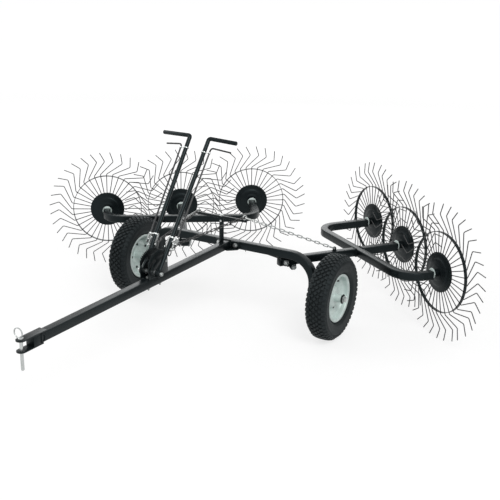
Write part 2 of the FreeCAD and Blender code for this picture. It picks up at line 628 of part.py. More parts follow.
def make_rake_frame(side_name, side):
    """Bent rail with a stub at each end and an arm through its middle, in one level plane."""
    drop = Z * -size("frame_drop")
    gap = size("stub_gap")
    points = []
    for name in ("front", "rear"):
        hub = HUBS[name] + drop
        end = hub - OUT * gap
        corner = hub - OUT * (OUT.dot(hub - HUB_MIDDLE) + size("rail_offset"))
        points += [end, corner] if name == "front" else [corner, end]
    frame = bent_tube(points, size("rail_bend"), Z)
    middle = HUB_MIDDLE + drop
    rail_out = size("rail_offset")
    arm_end = middle - OUT * size("arm_length")
    arm = bent_tube([arm_end, middle - OUT * (rail_out + HALF)], 0, Z)
    outer_arm = bent_tube([middle - OUT * (rail_out - HALF), middle - OUT * gap], 0, Z)
    bore = bar(12, size("pivot_radius") / math.cos(math.pi / 12), LIFT_PIVOT - ALONG * 2 * HALF,
               LIFT_PIVOT + ALONG * 2 * HALF)
    hook = chain_hook()
    tab_half = size("plate_thick") / 2
    reach = 2 * size("lug_hole")
    tab_corners = [hook + OUT * along + Z * rise - ALONG * tab_half for along, rise in
                   ((-reach, -size("tab_rise") - 1), (reach, -size("tab_rise") - 1), (reach, 0),
                    (reach / 2, reach), (-reach / 2, reach), (-reach, 0))]
    tab = Part.Face(Part.makePolygon(tab_corners + tab_corners[:1])).extrude(ALONG * 2 * tab_half)
    tab = tab.cut(bar(8, size("lug_hole"), hook - ALONG * HALF, hook + ALONG * HALF))
    frame = frame.fuse([arm.cut(bore), outer_arm, tab])
    for hub in HUBS.values():
        plug = Part.makeBox(size("stub_plug"), size("tube_side"), size("tube_side"))
        plug.Placement = Placement(hub + drop - OUT * (gap + size("stub_plug")) + ALONG * HALF - Z * HALF,
                                   Rotation(X, OUT))
        frame = frame.fuse(plug)
    keep("rake_frame_%s" % side_name,
         shape_part("rake_frame_%s" % side_name, mirrored(frame.removeSplitter(), side)))


# ---------------------------------------------------------------- rake wheels

def tine(index):
    """One wire with two kinks; its root lies behind the hoop's plane."""
    base = 360.0 * (index + 0.5) / size("tine_count")
    knee = size("hoop_radius") / math.cos(math.pi / size("tine_count"))
    spine = []
    for radius, turn, behind in ((size("tine_root"), 0, size("tine_dish")), (knee, 0, 0),
                                 (size("tine_elbow"), -size("tine_sweep"), 0),
                                 (size("tine_tip"), size("tine_return") - size("tine_sweep"), 0)):
        angle = math.radians(base + turn)
        spine.append(Vector(radius * math.cos(angle), radius * math.sin(angle), -behind))
    return bent_wire(spine, 3, size("tine_size") / math.sqrt(3), Z)


def make_tine_wheel():
    """Hoop of flats with its tines through them, about +Z."""
    flats = int(size("hoop_flats"))
    half = size("hoop_width") / 2
    stretch = 1 / math.cos(math.pi / flats)
    outer = (size("hoop_radius") + size("hoop_thick") / 2) * stretch
    inner = (size("hoop_radius") - size("hoop_thick") / 2) * stretch
    hoop = lathe([(inner, -half), (outer, -half), (outer, half), (inner, half)], flats, Vector(), Z)
    return hoop.fuse([tine(index) for index in range(int(size("tine_count")))])


def make_hub_disc():
    """Two coned plates on a sleeve, with a slot between them for the tines' inner ends."""
    slot = size("disc_slot") / 2
    face = slot + size("disc_plate")
    middle = -0.8 * size("tine_dish")
    rim = size("disc_radius")
    core = size("tine_root") - 3
    hub = size("rake_hub")
    sides = int(size("disc_sides"))
    bore = (size("rake_spindle") + size("running_play")) / math.cos(math.pi / sides)
    cone = size("disc_cone")
    return lathe([(bore, -size("hub_back")), (hub, -size("hub_back")), (hub, middle - face - cone),
                  (rim, middle - face), (rim, middle - slot), (core, middle - slot), (core, middle + slot),
                  (rim, middle + slot), (rim, middle + face), (hub, size("hub_front") - 1),
                  (bore, size("hub_front") - 1)], sides, Vector(), Z)


def make_rake_wheels():
    """Six rake wheels: a hoop with its tines, and a hub disc, on each hub."""
    wheel = make_tine_wheel()
    disc = make_hub_disc()
    for side_name, side in SIDES:
        for name, hub in HUBS.items():
            for node, shape in (("tines", wheel), ("hub_disc", disc)):
                placed = shape.copy()
                placed.Placement = Placement(hub, Rotation(Z, OUT))
                node_name = "%s_%s_%s" % (node, side_name, name)
                keep(node_name, shape_part(node_name, mirrored(placed, side)))


def hub_bolt(hub):
    """Spindle on a stub's end plate, with a collar behind the wheel and a nut in front of it."""
    foot = hub - OUT * size("stub_gap")
    collar_end = foot + OUT * size("collar_length")
    nut_foot = hub + OUT * size("hub_front")
    nut_end = nut_foot + OUT * size("rake_nut_length")
    journal = Part.makeCylinder(size("rake_spindle"), (nut_foot - collar_end).Length, collar_end, OUT)
    return journal.fuse([bar(10, size("collar_radius"), foot, collar_end),
                         bar(6, size("rake_nut"), nut_foot, nut_end),
                         bar(6, size("rake_spindle"), nut_end, hub + OUT * size("spindle_tip"))])


def make_hub_bolts(side_name, side):
    """The three spindles of one side."""
    node = "hub_bolts_%s" % side_name
    bolts = Part.makeCompound([hub_bolt(hub) for hub in HUBS.values()])
    keep(node, shape_part(node, mirrored(bolts, side)))


# ---------------------------------------------------------------- lift chains

def link(centre, way, across, half, side, nose=0):
    """Closed link of three-sided wire, pointed or with a flat nose; across runs over its width."""
    wire = size("link_wire")
    normal = way.cross(across)
    tips = [(half, nose), (half, -nose)] if nose else [(half, 0)]
    shoulder = half - side + nose
    front = [(shoulder, side)] + tips + [(shoulder, -side)]
    corners = [centre + (way * along + across * out) * end for end in (1, -1) for along, out in front]
    rings = []
    for before, corner, after in zip(corners[-1:] + corners[:-1], corners, corners[1:] + corners[:1]):
        ahead = (corner - before).normalize()
        leaving = (after - corner).normalize()
        outward = (ahead - leaving).normalize()
        stretch = wire / math.cos(ahead.getAngle(leaving) / 2)
        turns = [math.radians(90 + 120 * flat) for flat in range(3)]
        rings.append([corner + outward * (stretch * math.cos(turn)) + normal * (wire * math.sin(turn))
                      for turn in turns])
    return skin(rings)


def chain(start, end):
    """Taut links between the middles of two large links' outer wires; neighbours are a quarter turn apart."""
    way = (end - start).normalize()
    length = (end - start).Length
    large = size("shackle_half")
    small = size("link_half")
    bite = size("link_bite")
    count = 2 * math.ceil(((length - 4 * large + bite) / (2 * small - bite) - 1) / 2) + 1
    bite = (4 * large + 2 * small * count - length) / (count + 1)
    across = Z.cross(way).normalize()
    side = size("shackle_side")
    nose = size("shackle_nose")
    links = [link(start + way * large, way, across, large, side, nose),
             link(end - way * large, way, across, large, side, nose)]
    for index in range(count):
        along = 2 * large + small - bite + index * (2 * small - bite)
        turned = across if index % 2 else way.cross(across)
        links.append(link(start + way * along, way, turned, small, size("link_side")))
    return links


def make_lift_chain(side_name, side):
    """Chain from the lever's lug to the eye on the guide bar, and from there to the rake arm's tab."""
    foot, up = lever_line(side_name, 1)
    lug = foot + up * size("lug_reach") + up.cross(X) * size("lug_out")
    eye = eye_place()
    hook = chain_hook()
    links = []
    for far in (lug, hook):
        level = (far - eye) - EYE_AXIS * (far - eye).dot(EYE_AXIS)
        eye_wire = eye + level.normalize() * size("eye_radius")
        links += chain(eye_wire - (far - eye_wire).normalize() * size("eye_bite"), far)
    node = "lift_chain_%s" % side_name
    keep(node, shape_part(node, mirrored(Part.makeCompound(links), side)))


make_drawbar()
make_clevis()
make_hitch_pin()
make_axle_beam()
make_guide_post()
make_joint_bracket()
make_lever_pivot()
make_rake_wheels()
for side_name, side in SIDES:
    make_axle_nuts(side_name, side)
    make_road_wheel(side_name, side)
    make_sector(side_name, side)
    make_lever(side_name, side)
    make_trigger(side_name, side)
    make_lift_hinge(side_name, side)
    make_rake_frame(side_name, side)
    make_hub_bolts(side_name, side)
    make_lift_chain(side_name, side)

doc.recompute()

failed = [obj.Name for obj in doc.Objects if {"Invalid", "Error"} & set(obj.State)]
failed += [node for node, obj in nodes.items() if obj.Shape.isNull() or not obj.Shape.isValid()]
if failed:
    raise RuntimeError("objects that failed: %s" % ", ".join(failed))

os.makedirs("parts", exist_ok=True)
whole = FreeCAD.BoundBox()
for node, obj in nodes.items():
    obj.Shape.exportStep("parts/%s.step" % node)
    whole.add(obj.Shape.BoundBox)
print(len(nodes), "sub-parts", whole)
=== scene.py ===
"""Looks of a towed six-wheel V rake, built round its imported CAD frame. Lengths are in metres."""

import json
import math
import random

import bmesh
import bpy
from mathutils import Matrix, Vector
from mathutils.geometry import tessellate_polygon


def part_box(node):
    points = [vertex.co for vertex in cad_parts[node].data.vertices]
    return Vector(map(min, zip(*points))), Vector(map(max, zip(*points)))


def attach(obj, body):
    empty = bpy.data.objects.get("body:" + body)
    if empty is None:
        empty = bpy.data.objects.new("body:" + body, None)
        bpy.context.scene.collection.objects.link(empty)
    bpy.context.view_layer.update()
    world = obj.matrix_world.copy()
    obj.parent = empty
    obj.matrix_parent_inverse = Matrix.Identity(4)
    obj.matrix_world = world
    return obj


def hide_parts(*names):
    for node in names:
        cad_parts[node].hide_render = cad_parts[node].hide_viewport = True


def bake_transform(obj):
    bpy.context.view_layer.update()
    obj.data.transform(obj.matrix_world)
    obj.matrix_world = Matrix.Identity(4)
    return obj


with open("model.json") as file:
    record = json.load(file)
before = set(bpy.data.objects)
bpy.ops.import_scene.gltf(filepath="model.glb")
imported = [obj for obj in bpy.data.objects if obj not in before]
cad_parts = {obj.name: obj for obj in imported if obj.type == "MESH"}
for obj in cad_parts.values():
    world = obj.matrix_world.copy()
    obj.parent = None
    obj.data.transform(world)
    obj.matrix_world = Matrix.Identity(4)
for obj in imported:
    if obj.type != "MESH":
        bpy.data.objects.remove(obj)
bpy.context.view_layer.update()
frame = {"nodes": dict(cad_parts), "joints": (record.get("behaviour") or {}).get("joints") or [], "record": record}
JOINTS = {joint["name"]: joint for joint in frame["joints"]}
SIDES = (("left", 1), ("right", -1))
ROWS = ("front", "middle", "rear")
TURN = 2 * math.pi
UP = Vector((0, 0, 1))
X_AXIS = Vector((1, 0, 0))
Y_AXIS = Vector((0, 1, 0))


# ---- measures taken from the frame

def joint_place(name):
    """Point on a joint's axis, and the axis."""
    joint = JOINTS[name]
    return Vector(joint["pos_m"]), Vector(joint["axis"]).normalized()


TRACK, AXLE_Y, AXLE_Z = joint_place("road_wheel_left_spin")[0]
HALF, _, FRAME_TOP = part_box("drawbar")[1]
FRAME_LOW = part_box("drawbar")[0].z
FRAME_Z = (FRAME_TOP + FRAME_LOW) / 2
TUBE = HALF * 2
HUB_HALF = 0.055
CLEVIS_LAP = 0.030
CLEVIS_WEB = 0.040
PIN_RADIUS = 0.00635
ROD_HEART = 0.0004
WASHER = 0.0018
SEAM = 0.017
CORNERS = ((1, 1), (-1, 1), (-1, -1), (1, -1))


# ---- materials

def node_tree(name):
    material = bpy.data.materials.new(name)
    material.use_nodes = True
    return material, material.node_tree.nodes, material.node_tree.links


def set_inputs(node, values):
    for name, value in values.items():
        node.inputs[name].default_value = value


def join_values(nodes, links, operation, first, second):
    """Output of a math node with two links in."""
    made = nodes.new("ShaderNodeMath")
    made.operation = operation
    links.new(first, made.inputs[0])
    links.new(second, made.inputs[1])
    return made.outputs["Value"]


def noise(nodes, links, scale, detail, roughness):
    """Noise in object space."""
    coords = nodes.new("ShaderNodeTexCoord")
    texture = nodes.new("ShaderNodeTexNoise")
    set_inputs(texture, {"Scale": scale, "Detail": detail, "Roughness": roughness})
    links.new(coords.outputs["Object"], texture.inputs["Vector"])
    return texture


def spread(nodes, links, source, low, high):
    """Value or colour that goes from low to high over the middle of the source's range."""
    ramp = nodes.new("ShaderNodeValToRGB")
    for element, position, value in zip(ramp.color_ramp.elements, (0.35, 0.65), (low, high)):
        element.position = position
        element.color = (*value, 1) if isinstance(value, tuple) else (value, value, value, 1)
    links.new(source, ramp.inputs["Fac"])
    return ramp.outputs["Color"]


def add_bump(nodes, links, shader, heights, strength, distance):
    bump = nodes.new("ShaderNodeBump")
    set_inputs(bump, {"Strength": strength, "Distance": distance})
    links.new(heights, bump.inputs["Height"])
    links.new(bump.outputs["Normal"], shader.inputs["Normal"])


def finish_material(name, dark, light, metallic, roughness, grain, bump, specular=0.5, patch=6.0,
                    tint=(1.0, 1.0, 1.0)):
    """Paint or metal: two close colours in patches, roughness that varies, and a fine surface grain."""
    material, nodes, links = node_tree(name)
    shader = nodes["Principled BSDF"]
    set_inputs(shader, {"Metallic": metallic, "Specular IOR Level": specular, "Specular Tint": (*tint, 1)})
    patches = noise(nodes, links, patch, 4.0, 0.6)
    links.new(spread(nodes, links, patches.outputs["Fac"], dark, light), shader.inputs["Base Color"])
    fine = noise(nodes, links, grain, 2.0, 0.5)
    links.new(spread(nodes, links, fine.outputs["Fac"], *roughness), shader.inputs["Roughness"])
    add_bump(nodes, links, shader, fine.outputs["Fac"], bump, 0.0004)
    return material


MATERIALS = {
    "black_paint": finish_material("powder_coat", (0.0035, 0.0052, 0.0060), (0.0070, 0.0094, 0.0106), 0.0,
                                   (0.24, 0.36), 900.0, 0.22, 0.20, tint=(0.78, 0.97, 1.0)),
    "zinc": finish_material("zinc_plate", (0.38, 0.40, 0.40), (0.58, 0.60, 0.59), 0.9,
                            (0.22, 0.40), 500.0, 0.10),
    "tine_wire": finish_material("spring_wire", (0.030, 0.031, 0.032), (0.060, 0.061, 0.062), 0.5,
                                 (0.35, 0.5), 700.0, 0.10),
    "rim_paint": finish_material("rim_enamel", (0.62, 0.72, 0.69), (0.74, 0.84, 0.81), 0.10,
                                 (0.24, 0.42), 350.0, 0.10, patch=22.0),
    "tyre": finish_material("tyre_rubber", (0.0050, 0.0060, 0.0066), (0.0125, 0.0140, 0.0150), 0.0,
                            (0.50, 0.72), 420.0, 0.45, 0.30, tint=(0.78, 0.97, 1.0)),
}


def paint(piece, slot):
    """Give a piece a slot's material."""
    piece.data.materials.clear()
    piece.data.materials.append(MATERIALS[slot])


def put_in_scene(name, data):
    made = bpy.data.objects.new(name, data)
    bpy.context.scene.collection.objects.link(made)
    return made


# ---- shapes

class Mesh:
    """Vertices and faces gathered from several forms and made into one piece."""

    def __init__(self):
        self.points = []
        self.faces = []

    def add(self, points, faces):
        first = len(self.points)
        self.points += [tuple(point) for point in points]
        self.faces += [tuple(first + index for index in face) for face in faces]

    def rings(self, rings, closed=False, caps=True):
        """Skin over a run of sections with equal numbers of points."""
        count = len(rings[0])
        points = [point for ring in rings for point in ring]
        pairs = [(a, a + 1) for a in range(len(rings) - 1)]
        if closed:
            pairs.append((len(rings) - 1, 0))
        faces = []
        for low, high in pairs:
            for side in range(count):
                far = (side + 1) % count
                faces.append((low * count + side, low * count + far, high * count + far, high * count + side))
        if caps and not closed:
            faces.append(tuple(reversed(range(count))))
            faces.append(tuple((len(rings) - 1) * count + side for side in range(count)))
        self.add(points, faces)

    def mirrored(self, hand):
        """Same form on the machine's left side (hand 1) or its mirror image on the right side (hand -1)."""
        self.points = [(x * hand, y, z) for x, y, z in self.points]
        return self

    def piece(self, name, slot, body, replaces=(), smooth_angle=40.0, bevel=0.0):
        """Blender object of what was gathered, painted and riding on a body named by a string, else fixed in
        place; bevel rounds its sharp edges.
        """
        mesh = bpy.data.meshes.new(name)
        mesh.from_pydata(self.points, [], self.faces)
        mesh.validate()
        work = bmesh.new()
        work.from_mesh(mesh)
        bmesh.ops.recalc_face_normals(work, faces=work.faces)
        if bevel:
            sharp = [edge for edge in work.edges if len(edge.link_faces) == 2
                     and edge.calc_face_angle() > math.radians(smooth_angle)]
            bmesh.ops.bevel(work, geom=sharp, offset=bevel, offset_type="OFFSET", segments=2, profile=0.5,
                            affect="EDGES", clamp_overlap=True)
        work.to_mesh(mesh)
        work.free()
        made = put_in_scene(name, mesh)
        bpy.context.view_layer.objects.active = made
        made.select_set(True)
        bpy.ops.object.shade_smooth_by_angle(angle=math.radians(smooth_angle))
        made.select_set(False)
        paint(made, slot)
        if isinstance(body, str):
            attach(made, body)
        else:
            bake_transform(made)
        if replaces:
            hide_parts(*replaces)


def rounded(points, radii, steps=6):
    """Path with its inner corners rounded; radii is one number or one for each corner."""
    if not isinstance(radii, (list, tuple)):
        radii = [radii] * (len(points) - 2)
    path = [points[0]]
    for before, corner, after, radius in zip(points, points[1:], points[2:], radii):
        ahead = (corner - before).normalized()
        leaving = (after - corner).normalized()
        turn = ahead.angle(leaving)
        if turn < 1e-4 or radius <= 0:
            path.append(corner)
            continue
        start = corner - ahead * radius * math.tan(turn / 2)
        inward = (leaving - ahead * math.cos(turn)).normalized()
        for step in range(steps + 1):
            angle = turn * step / steps
            path.append(start + ahead * radius * math.sin(angle) + inward * radius * (1 - math.cos(angle)))
    path.append(points[-1])
    return path


def frames_along(path, start_side, closed):
    """Side, rise and forward directions carried along a path without twist."""
    frames = []
    side = start_side.copy()
    count = len(path)
    for index in range(count):
        if closed:
            way = path[(index + 1) % count] - path[index - 1]
        else:
            way = path[min(index + 1, count - 1)] - path[max(index - 1, 0)]
        way.normalize()
        side = (side - way * side.dot(way)).normalized()
        frames.append((side.copy(), way.cross(side), way.copy()))
    return frames


def mitre(path, frames, index, closed):
    """Direction and size of the stretch that keeps a bar's thickness at a corner."""
    count = len(path)
    if not closed and index in (0, count - 1):
        return Vector(), 1.0
    ahead = (path[(index + 1) % count] - path[index]).normalized()
    before = (path[index] - path[index - 1]).normalized()
    inward = ahead - before
    if inward.length < 1e-6:
        return Vector(), 1.0
    return inward.normalized(), 1 / max(0.3, ahead.dot(frames[index][2]))


def sweep(mesh, path, outline, start_side, closed=False, caps=True, scale=None):
    """Section, as (side, rise) points, carried along a path."""
    frames = frames_along(path, start_side, closed)
    rings = []
    for index, (point, (side, rise, _)) in enumerate(zip(path, frames)):
        inward, stretch = mitre(path, frames, index, closed)
        size = scale[index] if scale else 1.0
        ring = []
        for a, b in outline:
            offset = (side * a + rise * b) * size
            ring.append(point + offset + inward * (offset.dot(inward) * (stretch - 1)))
        rings.append(ring)
    mesh.rings(rings, closed, caps)


def circle_outline(radius, sides):
    return [(radius * math.cos(TURN * k / sides), radius * math.sin(TURN * k / sides)) for k in range(sides)]


def square_outline(width, corner, steps):
    """Rounded square section."""
    reach = width / 2 - corner
    outline = []
    for quarter, (a, b) in enumerate(CORNERS):
        for step in range(steps + 1):
            angle = TURN * (quarter + step / steps) / 4
            outline.append((reach * a + corner * math.cos(angle), reach * b + corner * math.sin(angle)))
    return outline


def wire(mesh, path, radius, sides, closed=False):
    """Round wire along a path."""
    start = (path[1] - path[0]).orthogonal().normalized()
    sweep(mesh, path, circle_outline(radius, sides), start, closed)


def circle(centre, side, rise, radius, count):
    """Points round a centre, from the side towards the rise."""
    return [centre + (side * math.cos(TURN * k / count) + rise * math.sin(TURN * k / count)) * radius
            for k in range(count)]


def plane_axes(axis):
    """Unit axis and two directions square to it."""
    axis = axis.normalized()
    side = axis.orthogonal().normalized()
    return axis, side, axis.cross(side)


def lathe(mesh, outline, centre, axis, sides, closed=False):
    """Turned form from (radius, along) points; a closed outline makes a ring."""
    axis, side, rise = plane_axes(axis)
    rings = [circle(centre + axis * along, side, rise, radius, sides) for radius, along in outline]
    mesh.rings(rings, closed, caps=not closed)


def rod(mesh, radius, low, high, centre, axis, sides):
    """Plain round bar."""
    lathe(mesh, [(ROD_HEART, low), (radius, low), (radius, high), (ROD_HEART, high)], centre, axis, sides)


def washer(mesh, bore, radius, low, high, centre, axis, sides):
    """Flat ring or sleeve."""
    lathe(mesh, [(bore, low), (radius, low), (radius, high), (bore, high)], centre, axis, sides, closed=True)


def nut(mesh, centre, axis, across, thick):
    """Hexagon nut or bolt head with turned edges, standing on its centre point along the axis."""
    axis, side, rise = plane_axes(axis)
    corner = across / 2 / math.cos(math.pi / 6)
    edge = 0.12
    mesh.rings([circle(centre + axis * thick * level, side, rise, corner * scale, 6)
                for scale, level in ((1 - edge, 0), (1, edge), (1, 1 - edge), (1 - edge, 1))])


def bolt_end(mesh, centre, axis, radius, length):
    """Threaded end of a bolt: fine ridges and a chamfered tip."""
    outline = []
    pitch = radius * 0.3
    count = int(length / pitch)
    for turn in range(count):
        outline += [(radius, turn * pitch), (radius * 0.86, (turn + 0.5) * pitch)]
    outline += [(radius, count * pitch), (radius * 0.7, count * pitch + radius * 0.3)]
    lathe(mesh, outline, centre, axis, 16)


def block(mesh, centre, size, axes=(X_AXIS, Y_AXIS, UP)):
    """Small plate or block about a centre."""
    a, b, c = [axis * length / 2 for axis, length in zip(axes, size)]
    mesh.rings([[centre + level + across for across in (-a - b, a - b, a + b, b - a)] for level in (-c, c)])


def cut_plate(mesh, loops, way):
    """Flat plate raised along a way from its outline and the outlines of its holes."""
    flat = [point for loop in loops for point in loop]
    count = len(flat)
    triangles = tessellate_polygon(loops)
    faces = [tuple(triangle) for triangle in triangles]
    faces += [tuple(index + count for index in reversed(triangle)) for triangle in triangles]
    start = 0
    for loop in loops:
        for index in range(len(loop)):
            far = start + (index + 1) % len(loop)
            faces.append((start + index, far, far + count, start + index + count))
        start += len(loop)
    mesh.add(flat + [point + way for point in flat], faces)


def resample(path, gap, closed=False):
    """Points at nearly equal steps along a path."""
    path = path + path[:1] if closed else path
    lengths = [(b - a).length for a, b in zip(path, path[1:])]
    total = sum(lengths)
    count = max(2, round(total / gap))
    made = []
    for step in range(count if closed else count + 1):
        left = min(total * step / count, total - 1e-9)
        for a, b, length in zip(path, path[1:], lengths):
            if left <= length:
                made.append(a.lerp(b, left / length))
                break
            left -= length
    return made


def bead(mesh, path, radius, closed=False):
    """Weld bead with ripples."""
    points = resample(path, 0.0024, closed)
    scale = [1.0 - 0.14 * (index % 2) for index in range(len(points))]
    way = (points[1] - points[0]).normalized()
    sweep(mesh, points, circle_outline(radius, 6), way.orthogonal().normalized(), closed, not closed, scale)


def seam(mesh, middle, reach, radius):
    """Straight weld bead through a point."""
    bead(mesh, [middle - reach, middle + reach], radius)


def tube(mesh, path, flat):
    """Square tube with rounded edges; flat is a direction square to its path."""
    sweep(mesh, path, square_outline(TUBE, 0.0045, 3), flat)


def collar_path(centre, axes, reach):
    """Square loop about a centre, a little out from a tube's faces."""
    return [centre + axes[0] * reach * a + axes[1] * reach * b for a, b in CORNERS]


def coil(mesh, start, end, radius, wire_radius, turns):
    """Spring about a straight line."""
    _, side, rise = plane_axes(end - start)
    round_turn = circle(Vector(), side, rise, radius, 12)
    steps = turns * 12
    path = [start.lerp(end, step / steps) + round_turn[step % 12] for step in range(steps + 1)]
    wire(mesh, path, wire_radius, 6)


def bolt(mesh, centre, axis, across, thick, under=0.0):
    """Hexagon head, on a washer where its radius is given."""
    axis = axis.normalized()
    if under:
        washer(mesh, 0.001, under, 0, WASHER, centre, axis, 24)
        centre = centre + axis * WASHER
    nut(mesh, centre, axis, across, thick)


def ring_plane(axis):
    """Two directions square to an axis, the first level."""
    side = UP.cross(axis).normalized()
    return side, axis.cross(side)


def polar(centre, axis):
    """Function that gives the point at a radius, a turn and a distance along the axis."""
    side, rise = ring_plane(axis)

    def place(radius, turn, along=0.0):
        return centre + (side * math.cos(turn) + rise * math.sin(turn)) * radius + axis * along

    return place


# ---- stage

# The floor's own glow, near the object and far from it, for the rays that see it.
FLOOR_GLOW = (0.735, 0.85)


def seen_ray(nodes, links):
    """1 for camera, glossy and transmission rays, and 0 for the rays that light the object."""
    path = nodes.new("ShaderNodeLightPath")
    seen = path.outputs["Is Camera Ray"]
    for kind in ("Is Glossy Ray", "Is Transmission Ray"):
        seen = join_values(nodes, links, "MAXIMUM", seen, path.outputs[kind])
    return seen


def make_stage():
    """White floor that keeps the shadow."""
    floor_mesh = bpy.data.meshes.new("floor")
    reach = 60.0
    floor_mesh.from_pydata([(reach * a, reach * b, 0) for a, b in CORNERS], [], [(0, 1, 2, 3)])
    put_in_scene("floor", floor_mesh)
    material, nodes, links = node_tree("floor_paper")
    shader = nodes["Principled BSDF"]
    set_inputs(shader, {"Base Color": (0.32, 0.32, 0.32, 1), "Roughness": 1.0, "Specular IOR Level": 0.0,
                        "Emission Color": (1, 1, 1, 1)})
    coords = nodes.new("ShaderNodeTexCoord")
    distance = nodes.new("ShaderNodeVectorMath")
    distance.operation = "LENGTH"
    links.new(coords.outputs["Object"], distance.inputs[0])
    level = nodes.new("ShaderNodeMapRange")
    set_inputs(level, {"From Min": 1.0, "From Max": 9.0, "To Min": FLOOR_GLOW[0], "To Max": FLOOR_GLOW[1]})
    links.new(distance.outputs["Value"], level.inputs["Value"])
    glow = join_values(nodes, links, "MULTIPLY", level.outputs["Result"], seen_ray(nodes, links))
    links.new(glow, shader.inputs["Emission Strength"])
    floor_mesh.materials.append(material)


def make_lights():
    """Even sky that is seen as white, and three soft lamps."""
    world = bpy.data.worlds.new("studio")
    bpy.context.scene.world = world
    world.use_nodes = True
    nodes = world.node_tree.nodes
    links = world.node_tree.links
    background = nodes["Background"]
    background.inputs["Color"].default_value = (1, 1, 1, 1)
    level = nodes.new("ShaderNodeMapRange")
    set_inputs(level, {"To Min": 0.48, "To Max": 1.0})
    links.new(seen_ray(nodes, links), level.inputs["Value"])
    links.new(level.outputs["Result"], background.inputs["Strength"])
    for name, place, size, power in (("key", (3.4, -2.6, 4.2), 2.6, 140.0),
                                     ("fill", (-4.0, -1.5, 3.4), 3.0, 60.0),
                                     ("back", (-2.8, 5.0, 2.8), 3.2, 55.0)):
        lamp = bpy.data.lights.new(name, "AREA")
        lamp.energy = power
        lamp.size = size
        made = put_in_scene(name, lamp)
        made.location = place
        made.rotation_euler = (Vector((0, 0.3, 0.3)) - made.location).to_track_quat("-Z", "Y").to_euler()


def make_camera():
    """Camera at the right front, with a slight roll."""
    azimuth = math.radians(29.62)
    elevation = math.radians(18.35)
    roll = math.radians(1.17)
    camera = bpy.data.cameras.new("camera")
    camera.lens = 62.91
    camera.sensor_width = 36.0
    made = put_in_scene("camera", camera)
    ahead = Vector((-math.sin(azimuth) * math.cos(elevation), math.cos(azimuth) * math.cos(elevation),
                    -math.sin(elevation)))
    right = ahead.cross(UP).normalized()
    rise = right.cross(ahead)
    right, rise = (right * math.cos(roll) + rise * math.sin(roll),
                   rise * math.cos(roll) - right * math.sin(roll))
    place = Vector((2.0949, -3.4834 + AXLE_Y, 1.6799))
    made.matrix_world = Matrix.Translation(place) @ Matrix((right, rise, -ahead)).transposed().to_4x4()
    bpy.context.scene.camera = made


# ---- drawbar and hitch

def make_drawbar():
    """Tongue tube with weld beads at both ends."""
    low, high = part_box("drawbar")
    front = Vector((0, low.y, FRAME_Z))
    back = Vector((0, high.y, FRAME_Z))
    mesh = Mesh()
    tube(mesh, [front, back], X_AXIS)
    bead(mesh, collar_path(back - Y_AXIS * 0.001, (X_AXIS, UP), HALF + 0.0012), 0.003, True)
    for hand in (1, -1):
        seam(mesh, front + X_AXIS * HALF * hand, UP * SEAM, 0.003)
    seam(mesh, front + Y_AXIS * CLEVIS_LAP + UP * (HALF + 0.001), X_AXIS * SEAM, 0.0026)
    mesh.piece("tongue_tube", "black_paint", "chassis", ["drawbar"])


def make_clevis():
    """Two round-nosed arms over and under a block, bored for the pin."""
    low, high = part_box("clevis")
    half = (high.x - low.x) / 2
    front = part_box("drawbar")[0].y
    nose_y = low.y + half
    mesh = Mesh()
    block(mesh, Vector((0, front - CLEVIS_WEB / 2, FRAME_Z)), (2 * half, CLEVIS_WEB, TUBE))
    for level, back, way in ((FRAME_TOP, front + CLEVIS_LAP, 1), (FRAME_LOW, front + 0.010, -1)):
        nose = Vector((0, nose_y, level))
        outline = [Vector((half, back, level)), Vector((-half, back, level))]
        outline += circle(nose, -X_AXIS, -Y_AXIS, half, 32)[:17]
        cut_plate(mesh, [outline, circle(nose, X_AXIS, Y_AXIS, PIN_RADIUS * 1.08, 24)], UP * 0.005 * way)
    mesh.piece("clevis_forging", "black_paint", "chassis", ["clevis"], bevel=0.0008)
    welds = Mesh()
    for side in (1, -1):
        corner = Vector((side * half, front, FRAME_Z))
        bead(welds, circle(corner, UP * -SEAM, Y_AXIS * 0.016, 1, 24)[:13], 0.0026)
    welds.piece("clevis_welds", "black_paint", "chassis")


def make_hitch_pin():
    """Turned pin with a groove, a collar head and a ring handle."""
    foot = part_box("hitch_pin")[0].z
    nose = Vector((0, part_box("clevis")[0].y + TUBE / 2, 0))
    seat = FRAME_TOP + 0.005
    groove = 0.341
    mesh = Mesh()
    outline = [(PIN_RADIUS * 0.55, foot), (PIN_RADIUS, foot + 0.003), (PIN_RADIUS, groove),
               (PIN_RADIUS - 0.001, groove), (PIN_RADIUS - 0.001, groove + 0.002),
               (PIN_RADIUS, groove + 0.002), (PIN_RADIUS, seat), (0.0092, seat), (0.0100, seat + 0.001),
               (0.0100, seat + 0.005), (0.0085, seat + 0.0062), (0.0030, seat + 0.0064)]
    lathe(mesh, outline, nose, UP, 32)
    lean = math.radians(35)
    radius = 0.019
    centre = nose + UP * (seat + 0.006) + Vector((-math.sin(lean), 0, math.cos(lean))) * radius
    wire(mesh, circle(centre, X_AXIS, UP, radius, 40), 0.0026, 10, True)
    mesh.piece("linch_pin", "zinc", "chassis", ["hitch_pin"], 35)


# ---- axle beam, post and joint

